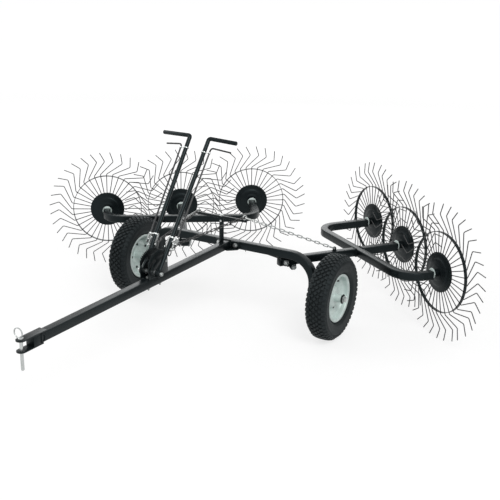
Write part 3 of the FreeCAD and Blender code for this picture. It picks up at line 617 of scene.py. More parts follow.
def make_axle_beam():
    """Arched tube with end caps, spindle shoulders and welds."""
    reach = 0.460
    foot_z = AXLE_Z - HALF
    corners = [Vector((x, AXLE_Y, z)) for x, z in ((-reach, foot_z), (-reach, FRAME_Z), (reach, FRAME_Z),
                                                   (reach, foot_z))]
    mesh = Mesh()
    tube(mesh, rounded(corners, 0.120, 16), Y_AXIS)
    spindle = TRACK - HUB_HALF - reach
    for side in (1, -1):
        middle = Vector((side * reach, AXLE_Y, AXLE_Z))
        lathe(mesh, [(0.001, HALF - 0.003), (0.0175, HALF - 0.003), (0.019, HALF), (0.019, spindle - 0.003),
                     (0.0175, spindle - 0.001), (0.001, spindle - 0.001)], middle, X_AXIS * side, 32)
        lathe(mesh, [(0.001, 0.02), (0.0079, 0.02), (0.0079, spindle + 0.120), (0.0065, spindle + 0.122),
                     (0.001, spindle + 0.122)], middle, X_AXIS * side, 24)
        bead(mesh, circle(middle + X_AXIS * side * (HALF + 0.0008), Y_AXIS, UP, 0.0195, 24), 0.0022, True)
        block(mesh, Vector((side * reach, AXLE_Y, foot_z + 0.0016)), (TUBE - 0.001, TUBE - 0.001, 0.0032))
    mesh.piece("arched_beam", "black_paint", "chassis", ["axle_beam"])


def make_axle_nut(side_name, hand):
    """Washer, castle nut and cotter pin."""
    node = "axle_nut_" + side_name
    low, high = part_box(node)
    tip = Vector((low.x + 0.001 if hand > 0 else high.x - 0.001, AXLE_Y, AXLE_Z))
    axis = X_AXIS * hand
    mesh = Mesh()
    lathe(mesh, [(0.0082, 0.0), (0.0155, 0.0), (0.0160, 0.0008), (0.0160, 0.0024), (0.0155, 0.003),
                 (0.0082, 0.003)], tip, axis, 32, closed=True)
    nut(mesh, tip + axis * 0.003, axis, 0.0235, 0.0085)
    lathe(mesh, [(ROD_HEART, 0.0100), (0.0098, 0.0100), (0.0096, 0.0142), (0.0090, 0.0148),
                 (ROD_HEART, 0.0150)], tip, axis, 24)
    pin = tip + axis * 0.0125
    wire(mesh, [pin - UP * 0.0135, pin + UP * 0.0150, pin + UP * 0.0175 + Y_AXIS * 0.002], 0.0014, 8)
    mesh.piece("castle_nut_" + side_name, "zinc", "chassis", [node], 35)


POST_Y = AXLE_Y - 0.078
POST_TOP = 0.512
GUIDE_BAR = 0.012
EYE_X = 0.127
EYE_Z = 0.534
EYE_RADIUS = 0.010
EYE_WAY = Vector((math.cos(math.radians(-28)), math.sin(math.radians(-28)), 0))


def make_guide_post():
    """Post and cross bar with a wire eye on each end, and a bolt through the top."""
    base = Vector((0, POST_Y, 0))
    mesh = Mesh()
    block(mesh, base + UP * (FRAME_TOP + POST_TOP) / 2, (0.020, GUIDE_BAR, POST_TOP - FRAME_TOP))
    block(mesh, base + UP * (POST_TOP + GUIDE_BAR / 2), (0.274, GUIDE_BAR, GUIDE_BAR))
    mesh.piece("chain_guide", "black_paint", "chassis", ["guide_post"], bevel=0.0016)
    more = Mesh()
    foot = base + UP * (FRAME_TOP + 0.0008)
    bead(more, collar_path(foot, (X_AXIS * 0.0112, Y_AXIS * 0.0072), 1), 0.0024, True)
    more.piece("guide_welds", "black_paint", "chassis")
    fitting = Mesh()
    bolt(fitting, base + UP * (POST_TOP + GUIDE_BAR), UP, 0.013, 0.006, 0.009)
    bolt(fitting, base - Y_AXIS * GUIDE_BAR / 2 + UP * (POST_TOP - 0.012), -Y_AXIS, 0.010, 0.0045)
    for hand in (1, -1):
        centre = Vector((EYE_X * hand, POST_Y, EYE_Z))
        side, rise = ring_plane(Vector((EYE_WAY.x * hand, EYE_WAY.y, 0)))
        wire(fitting, circle(centre, side, rise, EYE_RADIUS, 28), 0.0023, 8, True)
        lathe(fitting, [(0.0005, -0.004), (0.0050, -0.004), (0.0056, -0.002), (0.0056, 0.0005),
                        (0.0005, 0.0008)], centre - UP * 0.0096, UP, 16)
    fitting.piece("guide_eyes", "zinc", "chassis", [], 35)


def make_joint_bracket():
    """Plate between drawbar and beam with gussets, bolts and nuts."""
    thick = 0.006
    face = AXLE_Y - HALF
    half = 0.065
    mesh = Mesh()
    block(mesh, Vector((0, face - thick / 2, FRAME_Z)), (2 * half, thick, TUBE))
    run = half - HALF
    nose = 0.010
    for hand in (1, -1):
        corner = Vector((hand * HALF, face - thick, FRAME_LOW))
        outline = [corner + X_AXIS * hand * a - Y_AXIS * b
                   for a, b in ((0, 0), (run, 0), (run, nose), (nose, run), (0, run))]
        cut_plate(mesh, [outline], UP * thick)
    mesh.piece("joint_plate", "black_paint", "chassis", ["joint_bracket"], bevel=0.0009)
    heads = Mesh()
    for hand in (1, -1):
        front = Vector((hand * 0.046, face - thick, FRAME_Z))
        back = Vector((front.x, AXLE_Y + HALF, FRAME_Z))
        bolt(heads, front, -Y_AXIS, 0.017, 0.007, 0.0125)
        bolt(heads, back, Y_AXIS, 0.017, 0.007, 0.0125)
        bolt_end(heads, back + Y_AXIS * 0.008, Y_AXIS, 0.005, 0.006)
    heads.piece("joint_bolts", "zinc", "chassis", [], 35)
    welds = Mesh()
    for hand in (1, -1):
        seam(welds, Vector((hand * (half - 0.001), face - 0.001, FRAME_Z)), UP * SEAM, 0.0024)
    welds.piece("joint_welds", "black_paint", "chassis")


# ---- road wheels

TYRE_SIDE = [(0.1043, 0.0300), (0.1100, 0.0318), (0.1168, 0.0322), (0.1196, 0.0352), (0.1238, 0.0418),
             (0.1310, 0.0462), (0.1336, 0.0478), (0.1366, 0.0480), (0.1392, 0.0484), (0.1500, 0.0497),
             (0.1610, 0.0494), (0.1640, 0.0506), (0.1676, 0.0505), (0.1706, 0.0484), (0.1780, 0.0462),
             (0.1860, 0.0418), (0.1915, 0.0350), (0.1946, 0.0240), (0.1956, 0.0120), (0.1958, 0.0)]


def stud(mesh, place, turn, radius, along, sizes, lean=0.0, twist=0.0):
    """Tread block with sloping sides; sizes are its length round the tyre, its width and its height."""
    out = place(1.0, turn, 0.0) - place(0.0, turn, 0.0)
    axis = (place(0.0, 0.0, 1.0) - place(0.0, 0.0, 0.0)).normalized()
    run = axis.cross(out).normalized()
    out = (out * math.cos(lean) + axis * math.sin(lean)).normalized()
    across = run.cross(out).normalized()
    run, across = (run * math.cos(twist) + across * math.sin(twist),
                   across * math.cos(twist) - run * math.sin(twist))
    foot = place(radius, turn, along)
    rings = []
    for level, share in ((0.0, 1.16), (0.84, 1.0), (1.0, 0.86)):
        middle = foot + out * sizes[2] * level
        rings.append(collar_path(middle, (run * sizes[0] / 2, across * sizes[1] / 2), share))
    mesh.rings(rings)


def make_tyre(side_name):
    """Carcass with nine staggered rows of tread blocks and fine ribs on its walls."""
    centre, axis = joint_place("road_wheel_%s_spin" % side_name)
    place = polar(centre, axis)
    mesh = Mesh()
    profile = [(r, -a) for r, a in TYRE_SIDE] + list(reversed(TYRE_SIDE[:-1]))
    inner = [(0.1040, 0.022), (0.1040, -0.022)]
    lathe(mesh, profile + inner, centre, axis, 128, closed=True)
    blocks = 48
    ribs = 96
    slant = math.radians(45)
    pitch = TURN / blocks
    for index in range(blocks):
        turn = index * pitch
        stud(mesh, place, turn, 0.1945, 0.0, (0.0150, 0.0130, 0.0085), 0.0, slant)
        for hand in (1, -1):
            half = turn + pitch / 2
            stud(mesh, place, half, 0.1940, 0.0140 * hand, (0.0135, 0.0120, 0.0088), 0.06 * hand, slant)
            stud(mesh, place, turn, 0.1925, 0.0262 * hand, (0.0140, 0.0125, 0.0086), 0.22 * hand, 0.0)
            stud(mesh, place, half, 0.1840, 0.0382 * hand, (0.0150, 0.0200, 0.0070), 0.72 * hand, 0.0)
            stud(mesh, place, turn, 0.1795, 0.0437 * hand, (0.0120, 0.0130, 0.0032), 1.10 * hand, 0.0)
    for index in range(ribs):
        for hand in (1, -1):
            turn = TURN * index / ribs
            stud(mesh, place, turn, 0.1725, 0.0467 * hand, (0.0024, 0.0075, 0.0014), 1.25 * hand)
    mesh.piece("tread_tyre_" + side_name, "tyre", "road_wheel_" + side_name, ["tyre_" + side_name], 35)


def make_rim(side_name, hand):
    """Pressed rim with a dish, a hub tube with a dark ring of painted shade round its end, a valve stem and
    rivets.
    """
    centre, _ = joint_place("road_wheel_%s_spin" % side_name)
    axis = X_AXIS * hand
    side, rise = ring_plane(axis)
    body = "road_wheel_" + side_name
    face = [(0.0193, 0.0150), (0.0300, 0.0150), (0.0400, 0.0138), (0.0468, 0.0112), (0.0520, 0.0052),
            (0.0575, 0.0002), (0.0640, -0.0018), (0.0710, -0.0008), (0.0800, 0.0030), (0.0890, 0.0062),
            (0.0950, 0.0078), (0.0985, 0.0105), (0.1000, 0.0160), (0.1004, 0.0300), (0.1016, 0.0350),
            (0.1060, 0.0374), (0.1110, 0.0386), (0.1138, 0.0378), (0.1146, 0.0362), (0.1136, 0.0346),
            (0.1100, 0.0344), (0.1052, 0.0330), (0.1042, 0.0290), (0.1040, 0.0)]
    back = [(0.1040, -0.0290), (0.1052, -0.0330), (0.1100, -0.0344), (0.1136, -0.0346), (0.1146, -0.0362),
            (0.1138, -0.0378), (0.1110, -0.0386), (0.1060, -0.0374), (0.1016, -0.0350), (0.1004, -0.0300),
            (0.1000, -0.0020), (0.0985, 0.0035), (0.0950, 0.0052), (0.0890, 0.0036), (0.0800, 0.0004),
            (0.0710, -0.0034), (0.0640, -0.0044), (0.0575, -0.0024), (0.0505, 0.0026), (0.0455, 0.0086),
            (0.0395, 0.0112), (0.0300, 0.0124), (0.0193, 0.0124)]
    mesh = Mesh()
    lathe(mesh, face + back, centre, axis, 128, closed=True)
    mesh.piece("pressed_rim_" + side_name, "rim_paint", body, ["rim_" + side_name], 50)
    hub = Mesh()
    lathe(hub, [(0.0083, -HUB_HALF), (0.0180, -HUB_HALF), (0.0190, 0.001 - HUB_HALF),
                (0.0190, HUB_HALF - 0.001), (0.0180, HUB_HALF), (0.0083, HUB_HALF)],
          centre, axis, 48, closed=True)
    for along in (0.0152, 0.0122):
        bead(hub, circle(centre + axis * along, side, rise, 0.0198, 32), 0.0026, True)
    hub.piece("hub_tube_" + side_name, "rim_paint", body, [], 35)
    dark = Mesh()
    place = polar(centre, axis)
    valve_turn = math.radians(83)
    outward = axis + (place(1.0, valve_turn) - centre) * 0.10
    lathe(dark, [(ROD_HEART, 0.0), (0.0078, 0.0), (0.0074, 0.0030), (0.0048, 0.0052), (0.0042, 0.0150),
                 (0.0036, 0.0160), (0.0036, 0.0235), (ROD_HEART, 0.0240)], place(0.0785, valve_turn, 0.0024),
          outward, 20)
    # Dark ring over the hub tube's end face: painted shade round the axle nut, in the tyre's rubber colour.
    lathe(dark, [(0.0085, 0.0566), (0.0210, 0.0566), (0.0222, 0.0556), (0.0222, 0.0520), (0.0192, 0.0520),
                 (0.0192, 0.0551), (0.0085, 0.0551)], centre, axis, 32, closed=True)
    dark.piece("valve_" + side_name, "tyre", body, [], 35)
    small = Mesh()
    rivets = 5
    for index in range(rivets):
        spot = place(0.0640, math.radians(147) + TURN * index / rivets)
        lathe(small, [(0.0003, 0.0034), (0.0038, 0.0028), (0.0056, 0.0012), (0.0060, -0.0004),
                      (0.0003, -0.0004)], spot - axis * 0.0016, axis, 16)
        nut(small, spot - axis * 0.0040, -axis, 0.0120, 0.0048)
    small.piece("rim_rivets_" + side_name, "black_paint", body, [], 35)


# ---- rake frames

def row_place(row):
    """Left side's hub of a row."""
    return joint_place("rake_wheel_left_%s_spin" % row)[0]


OUT = joint_place("rake_wheel_left_middle_spin")[1]
ALONG = Vector((OUT.y, -OUT.x, 0))
LIFT_PIVOT = joint_place("rake_lift_left")[0]
RAKE_DROP = row_place("middle").z - LIFT_PIVOT.z
STUB_GAP = 0.046
RAIL_OUT = 0.272
CHAIN_TAB = 0.405


def chain_hook():
    """Hole of the left arm's chain tab."""
    return row_place("middle") - OUT * CHAIN_TAB + UP * (HALF + 0.012 - RAKE_DROP)


def make_rake_frame(side_name, hand):
    """Bent rail with a stub at each end and an arm through its middle."""
    body = "rake_arm_" + side_name
    drop = UP * -RAKE_DROP
    middle = row_place("middle") + drop
    points = []

    def end_point(hub):
        return hub - OUT * (STUB_GAP + 0.003)

    for row in ("front", "rear"):
        hub = row_place(row) + drop
        corner = hub - OUT * (OUT.dot(hub - middle) + RAIL_OUT)
        points += [end_point(hub), corner] if row == "front" else [corner, end_point(hub)]
    mesh = Mesh()
    tube(mesh, rounded(points, 0.105, 14), UP)
    tube(mesh, [middle - OUT * 0.708, middle - OUT * (RAIL_OUT + HALF - 0.001)], UP)
    tube(mesh, [middle - OUT * (RAIL_OUT - HALF + 0.001), end_point(middle)], UP)
    mesh.mirrored(hand).piece("rake_tube_" + side_name, "black_paint", body, ["rake_frame_" + side_name])
    small = Mesh()
    for row in ROWS:
        hub = row_place(row) + drop
        block(small, hub - OUT * (STUB_GAP + 0.002), (TUBE - 0.0006, TUBE - 0.0006, 0.004), (ALONG, UP, OUT))
    hook = chain_hook()
    outline = [hook + OUT * a + UP * b - ALONG * 0.003 for a, b in
               ((-0.009, -0.013), (0.009, -0.013), (0.009, 0.0), (0.0076, 0.0050), (0.0045, 0.0084),
                (0.0, 0.0096), (-0.0045, 0.0084), (-0.0076, 0.0050), (-0.009, 0.0))]
    cut_plate(small, [outline, circle(hook - ALONG * 0.003, OUT, UP, 0.0045, 16)], ALONG * 0.006)
    block(small, middle - OUT * 0.7085, (TUBE - 0.0066, TUBE - 0.0066, 0.001), (ALONG, UP, OUT))
    small.mirrored(hand).piece("frame_plates_" + side_name, "black_paint", body, bevel=0.0006)
    welds = Mesh()
    for reach in (RAIL_OUT + HALF, RAIL_OUT - HALF):
        centre = middle - OUT * reach
        bead(welds, collar_path(centre, (ALONG, UP), HALF + 0.0008), 0.0030, True)
    for row in ROWS:
        centre = row_place(row) + drop - OUT * (STUB_GAP + 0.0044)
        bead(welds, collar_path(centre, (ALONG, UP), HALF - 0.0002), 0.0016, True)
    bead(welds, collar_path(hook - UP * 0.012, (OUT * 0.0100, ALONG * 0.0042), 1), 0.0022, True)
    welds.mirrored(hand).piece("frame_welds_" + side_name, "black_paint", body)


def make_lift_hinge(side_name, hand):
    """Two lugs under the beam, a web between them, the pivot bolt and the rest bolt."""
    thick = 0.006
    rise = FRAME_LOW - LIFT_PIVOT.z
    behind = LIFT_PIVOT.y - AXLE_Y
    back = 0.042
    rest_drop = -HALF - 0.008 - 0.0003
    mesh = Mesh()
    for level in (1, -1):
        inner = level * (HALF + 0.001)
        mid = inner + level * thick / 2
        front, rear = [(y - behind - ALONG.y * mid) / OUT.y for y in (0.003 - HALF, HALF - 0.003)]
        corners = [(front, rise), (rear, rise), (0.018, 0.012), (back + 0.014, -0.012),
                   (back + 0.014, rest_drop - 0.009), (back + 0.009, rest_drop - 0.014),
                   (back - 0.009, rest_drop - 0.014), (back - 0.014, rest_drop - 0.009), (0.012, -0.016),
                   (0.004, -0.0185), (-0.004, -0.0185), (-0.013, -0.013), (-0.018, 0.0), (-0.018, 0.008)]
        low = min(inner, inner + level * thick)
        outline = [LIFT_PIVOT + OUT * o + UP * h + ALONG * low for o, h in corners]
        cut_plate(mesh, [outline], ALONG * thick)
    half = HALF + 0.001 + thick
    block(mesh, LIFT_PIVOT + OUT * -0.026 + UP * (rise - 0.0025), (0.024, 2 * half, 0.005), (OUT, ALONG, UP))
    mesh.mirrored(hand).piece("hinge_lugs_" + side_name, "black_paint", "chassis",
                              ["lift_hinge_" + side_name], bevel=0.0009)
    for node, middle in (("lift_pivot_", LIFT_PIVOT),
                         ("rest_bolt_", LIFT_PIVOT + OUT * back + UP * rest_drop)):
        bolt_mesh = Mesh()
        for level in (1, -1):
            bolt(bolt_mesh, middle + ALONG * level * half, ALONG * level, 0.0215, 0.0075, 0.0130)
        rod(bolt_mesh, 0.0079, -half, half, middle, ALONG, 24)
        bolt_end(bolt_mesh, middle + ALONG * (half + 0.0085), ALONG, 0.0070, 0.0045)
        bolt_mesh.mirrored(hand).piece(node + "hex_" + side_name, "zinc", "chassis", [node + side_name], 35)


# ---- levers and sectors

LEVER_SIDE, LEVER_Y, LEVER_Z = joint_place("lever_left_pull")[0]
LEVER_PIVOT = Vector((0, LEVER_Y, LEVER_Z))
LEVER_RADIUS = 0.0095
LEVER_LENGTH = 0.640
LEVER_LEAN = {"left": math.radians(37.4), "right": math.radians(34.9)}
SECTOR_THICK = 0.0035
SECTOR_FACE = {"left": HALF, "right": HALF + 0.0085}
TRIGGER_GAP = 0.028
# The grips and trigger handles differ from left to right in the photo.
GRIP_RISE = {"left": 0.009, "right": 0.0}
GRIP_DROOP = {"left": 0.045, "right": 0.0}
HANDLE_REACH = {"left": 0.100, "right": 0.080}
LUG = (0.135, 0.022)


def lever_frame(side_name, hand):
    """Lever's foot, the way up its shaft and the way behind it, at rest."""
    lean = LEVER_LEAN[side_name]
    return (LEVER_PIVOT + X_AXIS * hand * LEVER_SIDE, Vector((0, math.sin(lean), math.cos(lean))),
            Vector((0, math.cos(lean), -math.sin(lean))))


def make_sector(side_name, hand):
    """Side plate with a toothed arc, an arc slot and a foot on the drawbar."""
    middle = LEVER_PIVOT + Vector((SECTOR_FACE[side_name] - SECTOR_THICK, 0.031, -0.010))

    def place(radius, degrees):
        turn = math.radians(degrees)
        return middle + Vector((0, radius * math.sin(turn), radius * math.cos(turn)))

    radius = 0.102
    teeth = 15
    first = -43.0
    step = 81.0 / teeth
    rim = []
    for index in range(teeth):
        rim += [place(radius - depth, first + step * (index + share)) for depth, share in
                ((0.0090, 0.0), (0.0090, 0.38), (0.0, 0.52), (0.0, 0.86))]
    front = Vector((middle.x, LEVER_Y - 0.039, FRAME_TOP))
    rear = Vector((middle.x, LEVER_Y + 0.100, FRAME_TOP))
    outline = [front, Vector((middle.x, front.y, rim[0].z - 0.003))] + rim
    outline += [Vector((middle.x, rear.y - 0.003, rim[-1].z - 0.006)), rear]
    bore = circle(LEVER_PIVOT + X_AXIS * middle.x, UP, Y_AXIS, 0.0083, 24)
    slot_turns = [-62.0 + 3.0 * k for k in range(17)]
    slot = [place(0.0730, turn) for turn in slot_turns]
    slot += [place(0.0590, turn) for turn in reversed(slot_turns)]
    mesh = Mesh()
    cut_plate(mesh, [outline, bore, slot], X_AXIS * SECTOR_THICK)
    foot_reach = SECTOR_FACE[side_name] - 0.001
    block(mesh, Vector((foot_reach / 2, LEVER_Y + 0.035, FRAME_TOP + 0.0015)),
          (foot_reach - 0.0001, 0.128, 0.003))
    mesh.mirrored(hand).piece("tooth_plate_" + side_name, "black_paint", "chassis", ["sector_" + side_name],
                              30, 0.0007)


def make_sector_bolts():
    """Bolts through the drawbar that hold the sectors' foot, and a spacer between the plates."""
    mesh = Mesh()
    for reach in (-0.018, 0.064):
        bolt(mesh, Vector((0, LEVER_Y + reach, FRAME_TOP + 0.003)), UP, 0.0150, 0.0060, 0.0100)
        foot = Vector((0, LEVER_Y + reach, FRAME_LOW))
        bolt(mesh, foot, -UP, 0.0150, 0.0060, 0.0100)
        bolt_end(mesh, foot - UP * 0.0078, -UP, 0.0045, 0.0080)
    spacer = LEVER_PIVOT + Vector((0, 0.084, 0.030))
    rod(mesh, 0.0055, -0.0135, 0.0135, spacer, X_AXIS, 20)
    for hand in (1, -1):
        bolt(mesh, spacer + X_AXIS * hand * HALF, X_AXIS * hand, 0.0110, 0.0045)
    mesh.piece("sector_bolts", "zinc", "chassis", [], 35)


def make_lever_bolt():
    """Long bolt through both sectors and both levers."""
    half = LEVER_SIDE + LEVER_RADIUS + 0.004
    mesh = Mesh()
    lathe(mesh, [(ROD_HEART, -half - 0.010), (0.0066, -half - 0.010), (0.0079, -half - 0.008),
                 (0.0079, half + 0.006), (ROD_HEART, half + 0.006)], LEVER_PIVOT, X_AXIS, 32)
    for hand in (1, -1):
        bolt(mesh, LEVER_PIVOT + X_AXIS * hand * half, X_AXIS * hand, 0.0135, 0.0060, 0.0090)
        foot = LEVER_PIVOT + X_AXIS * hand * (HALF + 0.0008)
        washer(mesh, 0.0081, 0.0120, 0.0, 0.0090, foot, X_AXIS * hand, 28)
    mesh.piece("lever_pivot_bolt", "zinc", "chassis", ["lever_bolt"], 35)


def make_lever(side_name, hand):
    """Bar bent over at its top into a grip, with an eye round the pivot and a lug for the chain."""
    foot, up, back = lever_frame(side_name, hand)
    out = X_AXIS * hand
    top = foot + up * (LEVER_LENGTH + GRIP_RISE[side_name])
    tip = top + (out - UP * GRIP_DROOP[side_name]).normalized() * 0.140
    mesh = Mesh()
    path = rounded([foot + up * 0.012, top, tip], 0.010, 12)
    scale = [1.0] * len(path) + [0.86, 0.55]
    path += [tip + out * 0.0022, tip + out * 0.0034]
    sweep(mesh, path, circle_outline(LEVER_RADIUS, 24), X_AXIS.cross(up), scale=scale)
    lathe(mesh, [(0.0083, -0.0092), (0.0162, -0.0092), (0.0171, -0.0083), (0.0171, 0.0083), (0.0162, 0.0092),
                 (0.0083, 0.0092)], foot, X_AXIS, 40, closed=True)
    mesh.piece("lever_bar_" + side_name, "black_paint", "lever_" + side_name, ["lever_" + side_name], 35)
    plate = Mesh()
    middle = foot + up * LUG[0] + back * LUG[1] - X_AXIS * 0.0025
    outline = [middle + up * a + back * b for a, b in
               ((-0.011, -0.016), (-0.010, 0.0), (-0.0066, 0.0062), (0.0, 0.0090), (0.0066, 0.0062),
                (0.010, 0.0), (0.015, -0.016))]
    cut_plate(plate, [outline, circle(middle, up, back, 0.0046, 16)], X_AXIS * 0.005)
    for along in (-0.009, 0.012):
        seam(plate, foot + up * (LUG[0] + along) + back * 0.0085, X_AXIS * 0.0048, 0.0022)
    plate.piece("lever_lug_" + side_name, "black_paint", "lever_" + side_name)


def make_trigger(side_name, hand):
    """Rod with a bent handle, its guide clips, the spring and the pawl that drops into the sector."""
    foot, up, back = lever_frame(side_name, hand)
    out = X_AXIS * hand
    line = foot + out * TRIGGER_GAP
    body = "lever_" + side_name
    handle_rod = Mesh()
    top = line + up * (LEVER_LENGTH + GRIP_RISE[side_name] - 0.044)
    handle = top + (out - UP * 0.09).normalized() * HANDLE_REACH[side_name]
    path = rounded([line + up * 0.125, top, handle, handle + out * 0.0015], [0.012, 0.0], 8)
    wire(handle_rod, path, 0.0038, 14)
    handle_rod.piece("trigger_rod_" + side_name, "tine_wire", body, ["trigger_" + side_name], 35)
    clips = Mesh()
    axes = (out, back, up)

    def at(outward, behind, along):
        return foot + out * outward + back * behind + up * along

    reach = TRIGGER_GAP - LEVER_RADIUS - 0.0045
    for along, high in ((0.165, 0.0055), (LEVER_LENGTH - 0.063, 0.0040)):
        spot = foot + up * along
        washer(clips, LEVER_RADIUS + 0.0001, LEVER_RADIUS + 0.0012, 0.0, high, spot, up, 32)
        block(clips, spot + up * high / 2 + out * (LEVER_RADIUS + 0.0005 + reach / 2),
              (reach, 0.0016, high), axes)
        washer(clips, 0.0040, 0.0058, 0.0, high, spot + out * TRIGGER_GAP, up, 24)
    bolt(clips, at(-LEVER_RADIUS - 0.0010, 0, 0.168), -out, 0.0085, 0.0040)
    bolt(clips, at(-LEVER_RADIUS - 0.0010, 0, LEVER_LENGTH - 0.061), -out, 0.0070, 0.0030)
    coil(clips, line + up * 0.138, line + up * 0.163, 0.0066, 0.0011, 8)
    washer(clips, 0.0039, 0.0078, 0.0, 0.0016, line + up * 0.1385, up, 24)
    block(clips, at(0.0190, 0.004, 0.131), (0.0026, 0.0100, 0.040), axes)
    block(clips, at(0.0195, 0.004, 0.1165), (0.0180, 0.0085, 0.0026), axes)
    wire(clips, [at(TRIGGER_GAP, behind, along) for behind, along in
                 ((-0.011, 0.128), (0.013, 0.128), (0.015, 0.125))], 0.0013, 6)
    clips.piece("trigger_clips_" + side_name, "zinc", body, [], 35)
    dark = Mesh()
    wire(dark, circle(at(0.004, 0.019, 0.103), up * 1.25, back, 0.0095, 28), 0.0022, 8, True)
    block(dark, at(-0.0125, 0, 0.1085), (0.0040, 0.0120, 0.0240), axes)
    block(dark, at(-0.0030, 0, 0.1150), (0.0200, 0.0120, 0.0040), axes)
    dark.piece("pawl_" + side_name, "black_paint", body, [], 35, 0.0005)
    inner = Mesh()
    near = -LEVER_RADIUS - 0.0044
    coil(inner, at(near, 0, 0.130), at(near, 0, 0.166), 0.0042, 0.0010, 10)
    bolt(inner, at(-0.0146, 0, 0.122), -out, 0.0105, 0.0048)
    bolt(inner, at(LEVER_RADIUS, 0, 0.150), out, 0.0090, 0.0042)
    inner.piece("pawl_spring_" + side_name, "zinc", body, [], 35)


# ---- lift chains

def link_loop(centre, way, across, half, side, steps=7):
    """Closed path of an oval link."""
    path = []
    for end in (1, -1):
        hub = centre + way * (half - side) * end
        for step in range(steps + 1):
            turn = math.pi * step / steps
            path.append(hub + (way * math.sin(turn) + across * math.cos(turn)) * side * end)
    return path


def chain(mesh, start, end):
    """Taut links between two large end links, neighbours a quarter turn apart."""
    way = (end - start).normalized()
    length = (end - start).length
    large = 0.020
    bite = 0.0047
    count = 2 * math.ceil(((length - 4 * large + 0.0087) / 0.0273 - 1) / 2) + 1
    small = (length - 4 * large + bite * (count + 1)) / (2 * count)
    across = UP.cross(way).normalized()
    for centre in (start + way * large, end - way * large):
        wire(mesh, link_loop(centre, way, across, large, 0.0072), 0.0024, 8, True)
    for index in range(count):
        along = 2 * large + small - bite + index * (2 * small - bite)
        turned = across if index % 2 else way.cross(across)
        wire(mesh, link_loop(start + way * along, way, turned, small, 0.0050), 0.0021, 8, True)


# Share of a chain, from its moving end, handed on with the two bodies it joins; the chain is not shared between
# them and stays fixed in place.
BLEND_SHARE = 0.65


def make_lift_chain(side_name, hand):
    """One chain from the lever's lug to the eye on the guide bar, one from there to the arm's tab."""
    foot, up, back = lever_frame(side_name, 1)
    lug = foot + up * LUG[0] + back * LUG[1]
    eye = Vector((EYE_X, POST_Y, EYE_Z))
    hook = chain_hook()
    ends = []
    for far in (lug, hook):
        level = (far - eye) - EYE_WAY * (far - eye).dot(EYE_WAY)
        eye_wire = eye + level.normalized() * EYE_RADIUS
        near = eye_wire - (far - eye_wire).normalized() * 0.0050
        ends.append((near, far))
    flip = Vector((hand, 1, 1))
    pull = Mesh()
    chain(pull, *ends[0])
    pull.mirrored(hand).piece("pull_chain_" + side_name, "tine_wire",
                              ("lever_" + side_name, "chassis", lug * flip,
                               lug.lerp(ends[0][0], BLEND_SHARE) * flip), [], 45)
    lift = Mesh()
    chain(lift, *ends[1])
    lift.mirrored(hand).piece("arm_chain_" + side_name, "zinc",
                              ("chassis", "rake_arm_" + side_name,
                               hook.lerp(ends[1][0], BLEND_SHARE) * flip, hook * flip),
                              ["lift_chain_" + side_name], 45)


# ---- rake wheels

BORE = 0.0101


def make_rake_wheel(side_name, row):
    """Wire tines through a flat hoop."""
    node = "tines_%s_%s" % (side_name, row)
    body = "rake_wheel_%s_%s" % (side_name, row)
    hub, axis = joint_place(body + "_spin")
    hand = 1 if side_name == "left" else -1
    place = polar(hub, axis)
    low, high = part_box(node)
    tip = (high.z - low.z) / 2
    count = 36
    hoop = 0.190
    hoop_half = 0.0078
    strip = 0.0014
    knee = 0.200
    elbow = 0.272
    sweep_turn = math.radians(-18.5) * hand
    back_turn = math.radians(4.5) * hand
    root = 0.070
    dish = -0.0066
    chance = random.Random(sum(map(ord, node)))
    mesh = Mesh()
    for index in range(count):
        base = TURN * index / count
        wobble = math.radians(chance.uniform(-0.7, 0.7))
        lean = chance.uniform(-0.003, 0.003)
        corners = [place(root, base, dish), place(hoop, base), place(knee, base),
                   place(elbow, base + sweep_turn + wobble, lean),
                   place(tip - 0.001, base + sweep_turn + back_turn + wobble, lean * 1.6)]
        wire(mesh, rounded(corners, [0, 0.009, 0.009], 4), 0.0023, 8)
    mesh.piece("wire_" + node, "tine_wire", body)
    band = Mesh()
    washer(band, hoop - strip, hoop + strip, -hoop_half, hoop_half, hub, axis, 128)
    band.piece("hoop_%s_%s" % (side_name, row), "black_paint", body, [node], 30)


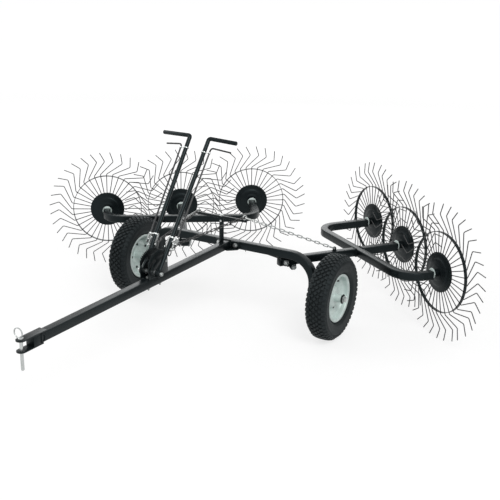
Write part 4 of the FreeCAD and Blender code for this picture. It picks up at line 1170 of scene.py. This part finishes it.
def make_hub_disc(side_name, row):
    """Two dished plates over the tines' roots, on a hub sleeve."""
    node = "hub_disc_%s_%s" % (side_name, row)
    body = "rake_wheel_%s_%s" % (side_name, row)
    hub, axis = joint_place(body + "_spin")
    rim = 0.0942
    middle = -0.0053
    slot = 0.0031
    sheet = 0.0024
    dish = [(BORE, 0.0080), (0.0300, 0.0080), (0.0340, 0.0074), (0.0400, 0.0052), (0.0460, 0.0044),
            (0.0600, 0.0040), (0.0660, 0.0018), (0.0700, 0.0), (0.0860, 0.0), (0.0900, -0.0006),
            (rim, -0.0018)]
    outline = [(r, slot + sheet + a) for r, a in dish]
    outline += [(rim + 0.0002, slot - 0.0014)] + [(r, slot + a) for r, a in reversed(dish[:-1])]
    mesh = Mesh()
    for hand in (-1, 1):
        lathe(mesh, [(r, middle + hand * a) for r, a in outline], hub, axis, 112, closed=True)
    lathe(mesh, [(BORE, -0.038), (0.0182, -0.038), (0.0190, -0.037), (0.0190, -0.0120), (0.0205, -0.0105),
                 (BORE, -0.0105)], hub, axis, 48, closed=True)
    lathe(mesh, [(BORE, 0.0), (0.0190, 0.0), (0.0190, 0.0064), (0.0182, 0.0071), (BORE, 0.0071)],
          hub, axis, 48, closed=True)
    mesh.piece("plates_%s_%s" % (side_name, row), "black_paint", body, [node], 35)


def make_hub_bolts(side_name, hand):
    """Spindle with a bright collar on each stub, and a nut with its washer in front of the wheel."""
    bright = Mesh()
    collars = Mesh()
    for row in ROWS:
        hub = row_place(row)
        foot = hub - OUT * STUB_GAP
        lathe(collars, [(0.0104, 0.0), (0.0240, 0.0), (0.0252, 0.0008), (0.0252, 0.0020), (0.0240, 0.0028),
                        (0.0104, 0.0028)], foot, OUT, 48, closed=True)
        rod(bright, 0.0099, 0.0, 0.0545, foot, OUT, 32)
        washer(bright, 0.0104, 0.0168, 0.0, 0.0020, hub + OUT * 0.0078, OUT, 32)
        nut(bright, hub + OUT * 0.0098, OUT, 0.0270, 0.0075)
        bolt_end(bright, hub + OUT * 0.0173, OUT, 0.0088, 0.0030)
    collars.mirrored(hand).piece("stub_collars_" + side_name, "rim_paint", "rake_arm_" + side_name, [], 35)
    bright.mirrored(hand).piece("stub_hardware_" + side_name, "zinc", "rake_arm_" + side_name,
                                ["hub_bolts_" + side_name], 35)


def dress_cad_nodes():
    """Better materials on the CAD pieces that stay."""
    for subpart in frame["record"]["subparts"]:
        paint(frame["nodes"][subpart["node"]], subpart["material_slot"])


dress_cad_nodes()
make_stage()
make_lights()
make_camera()
make_drawbar()
make_clevis()
make_hitch_pin()
make_axle_beam()
make_guide_post()
make_joint_bracket()
make_lever_bolt()
make_sector_bolts()
for side_name, hand in SIDES:
    make_axle_nut(side_name, hand)
    make_tyre(side_name)
    make_rim(side_name, hand)
    make_rake_frame(side_name, hand)
    make_lift_hinge(side_name, hand)
    make_hub_bolts(side_name, hand)
    make_sector(side_name, hand)
    make_lever(side_name, hand)
    make_trigger(side_name, hand)
    make_lift_chain(side_name, hand)
for side_name, _ in SIDES:
    for row in ROWS:
        make_rake_wheel(side_name, row)
        make_hub_disc(side_name, row)

bpy.context.scene.view_settings.view_transform = "Standard"
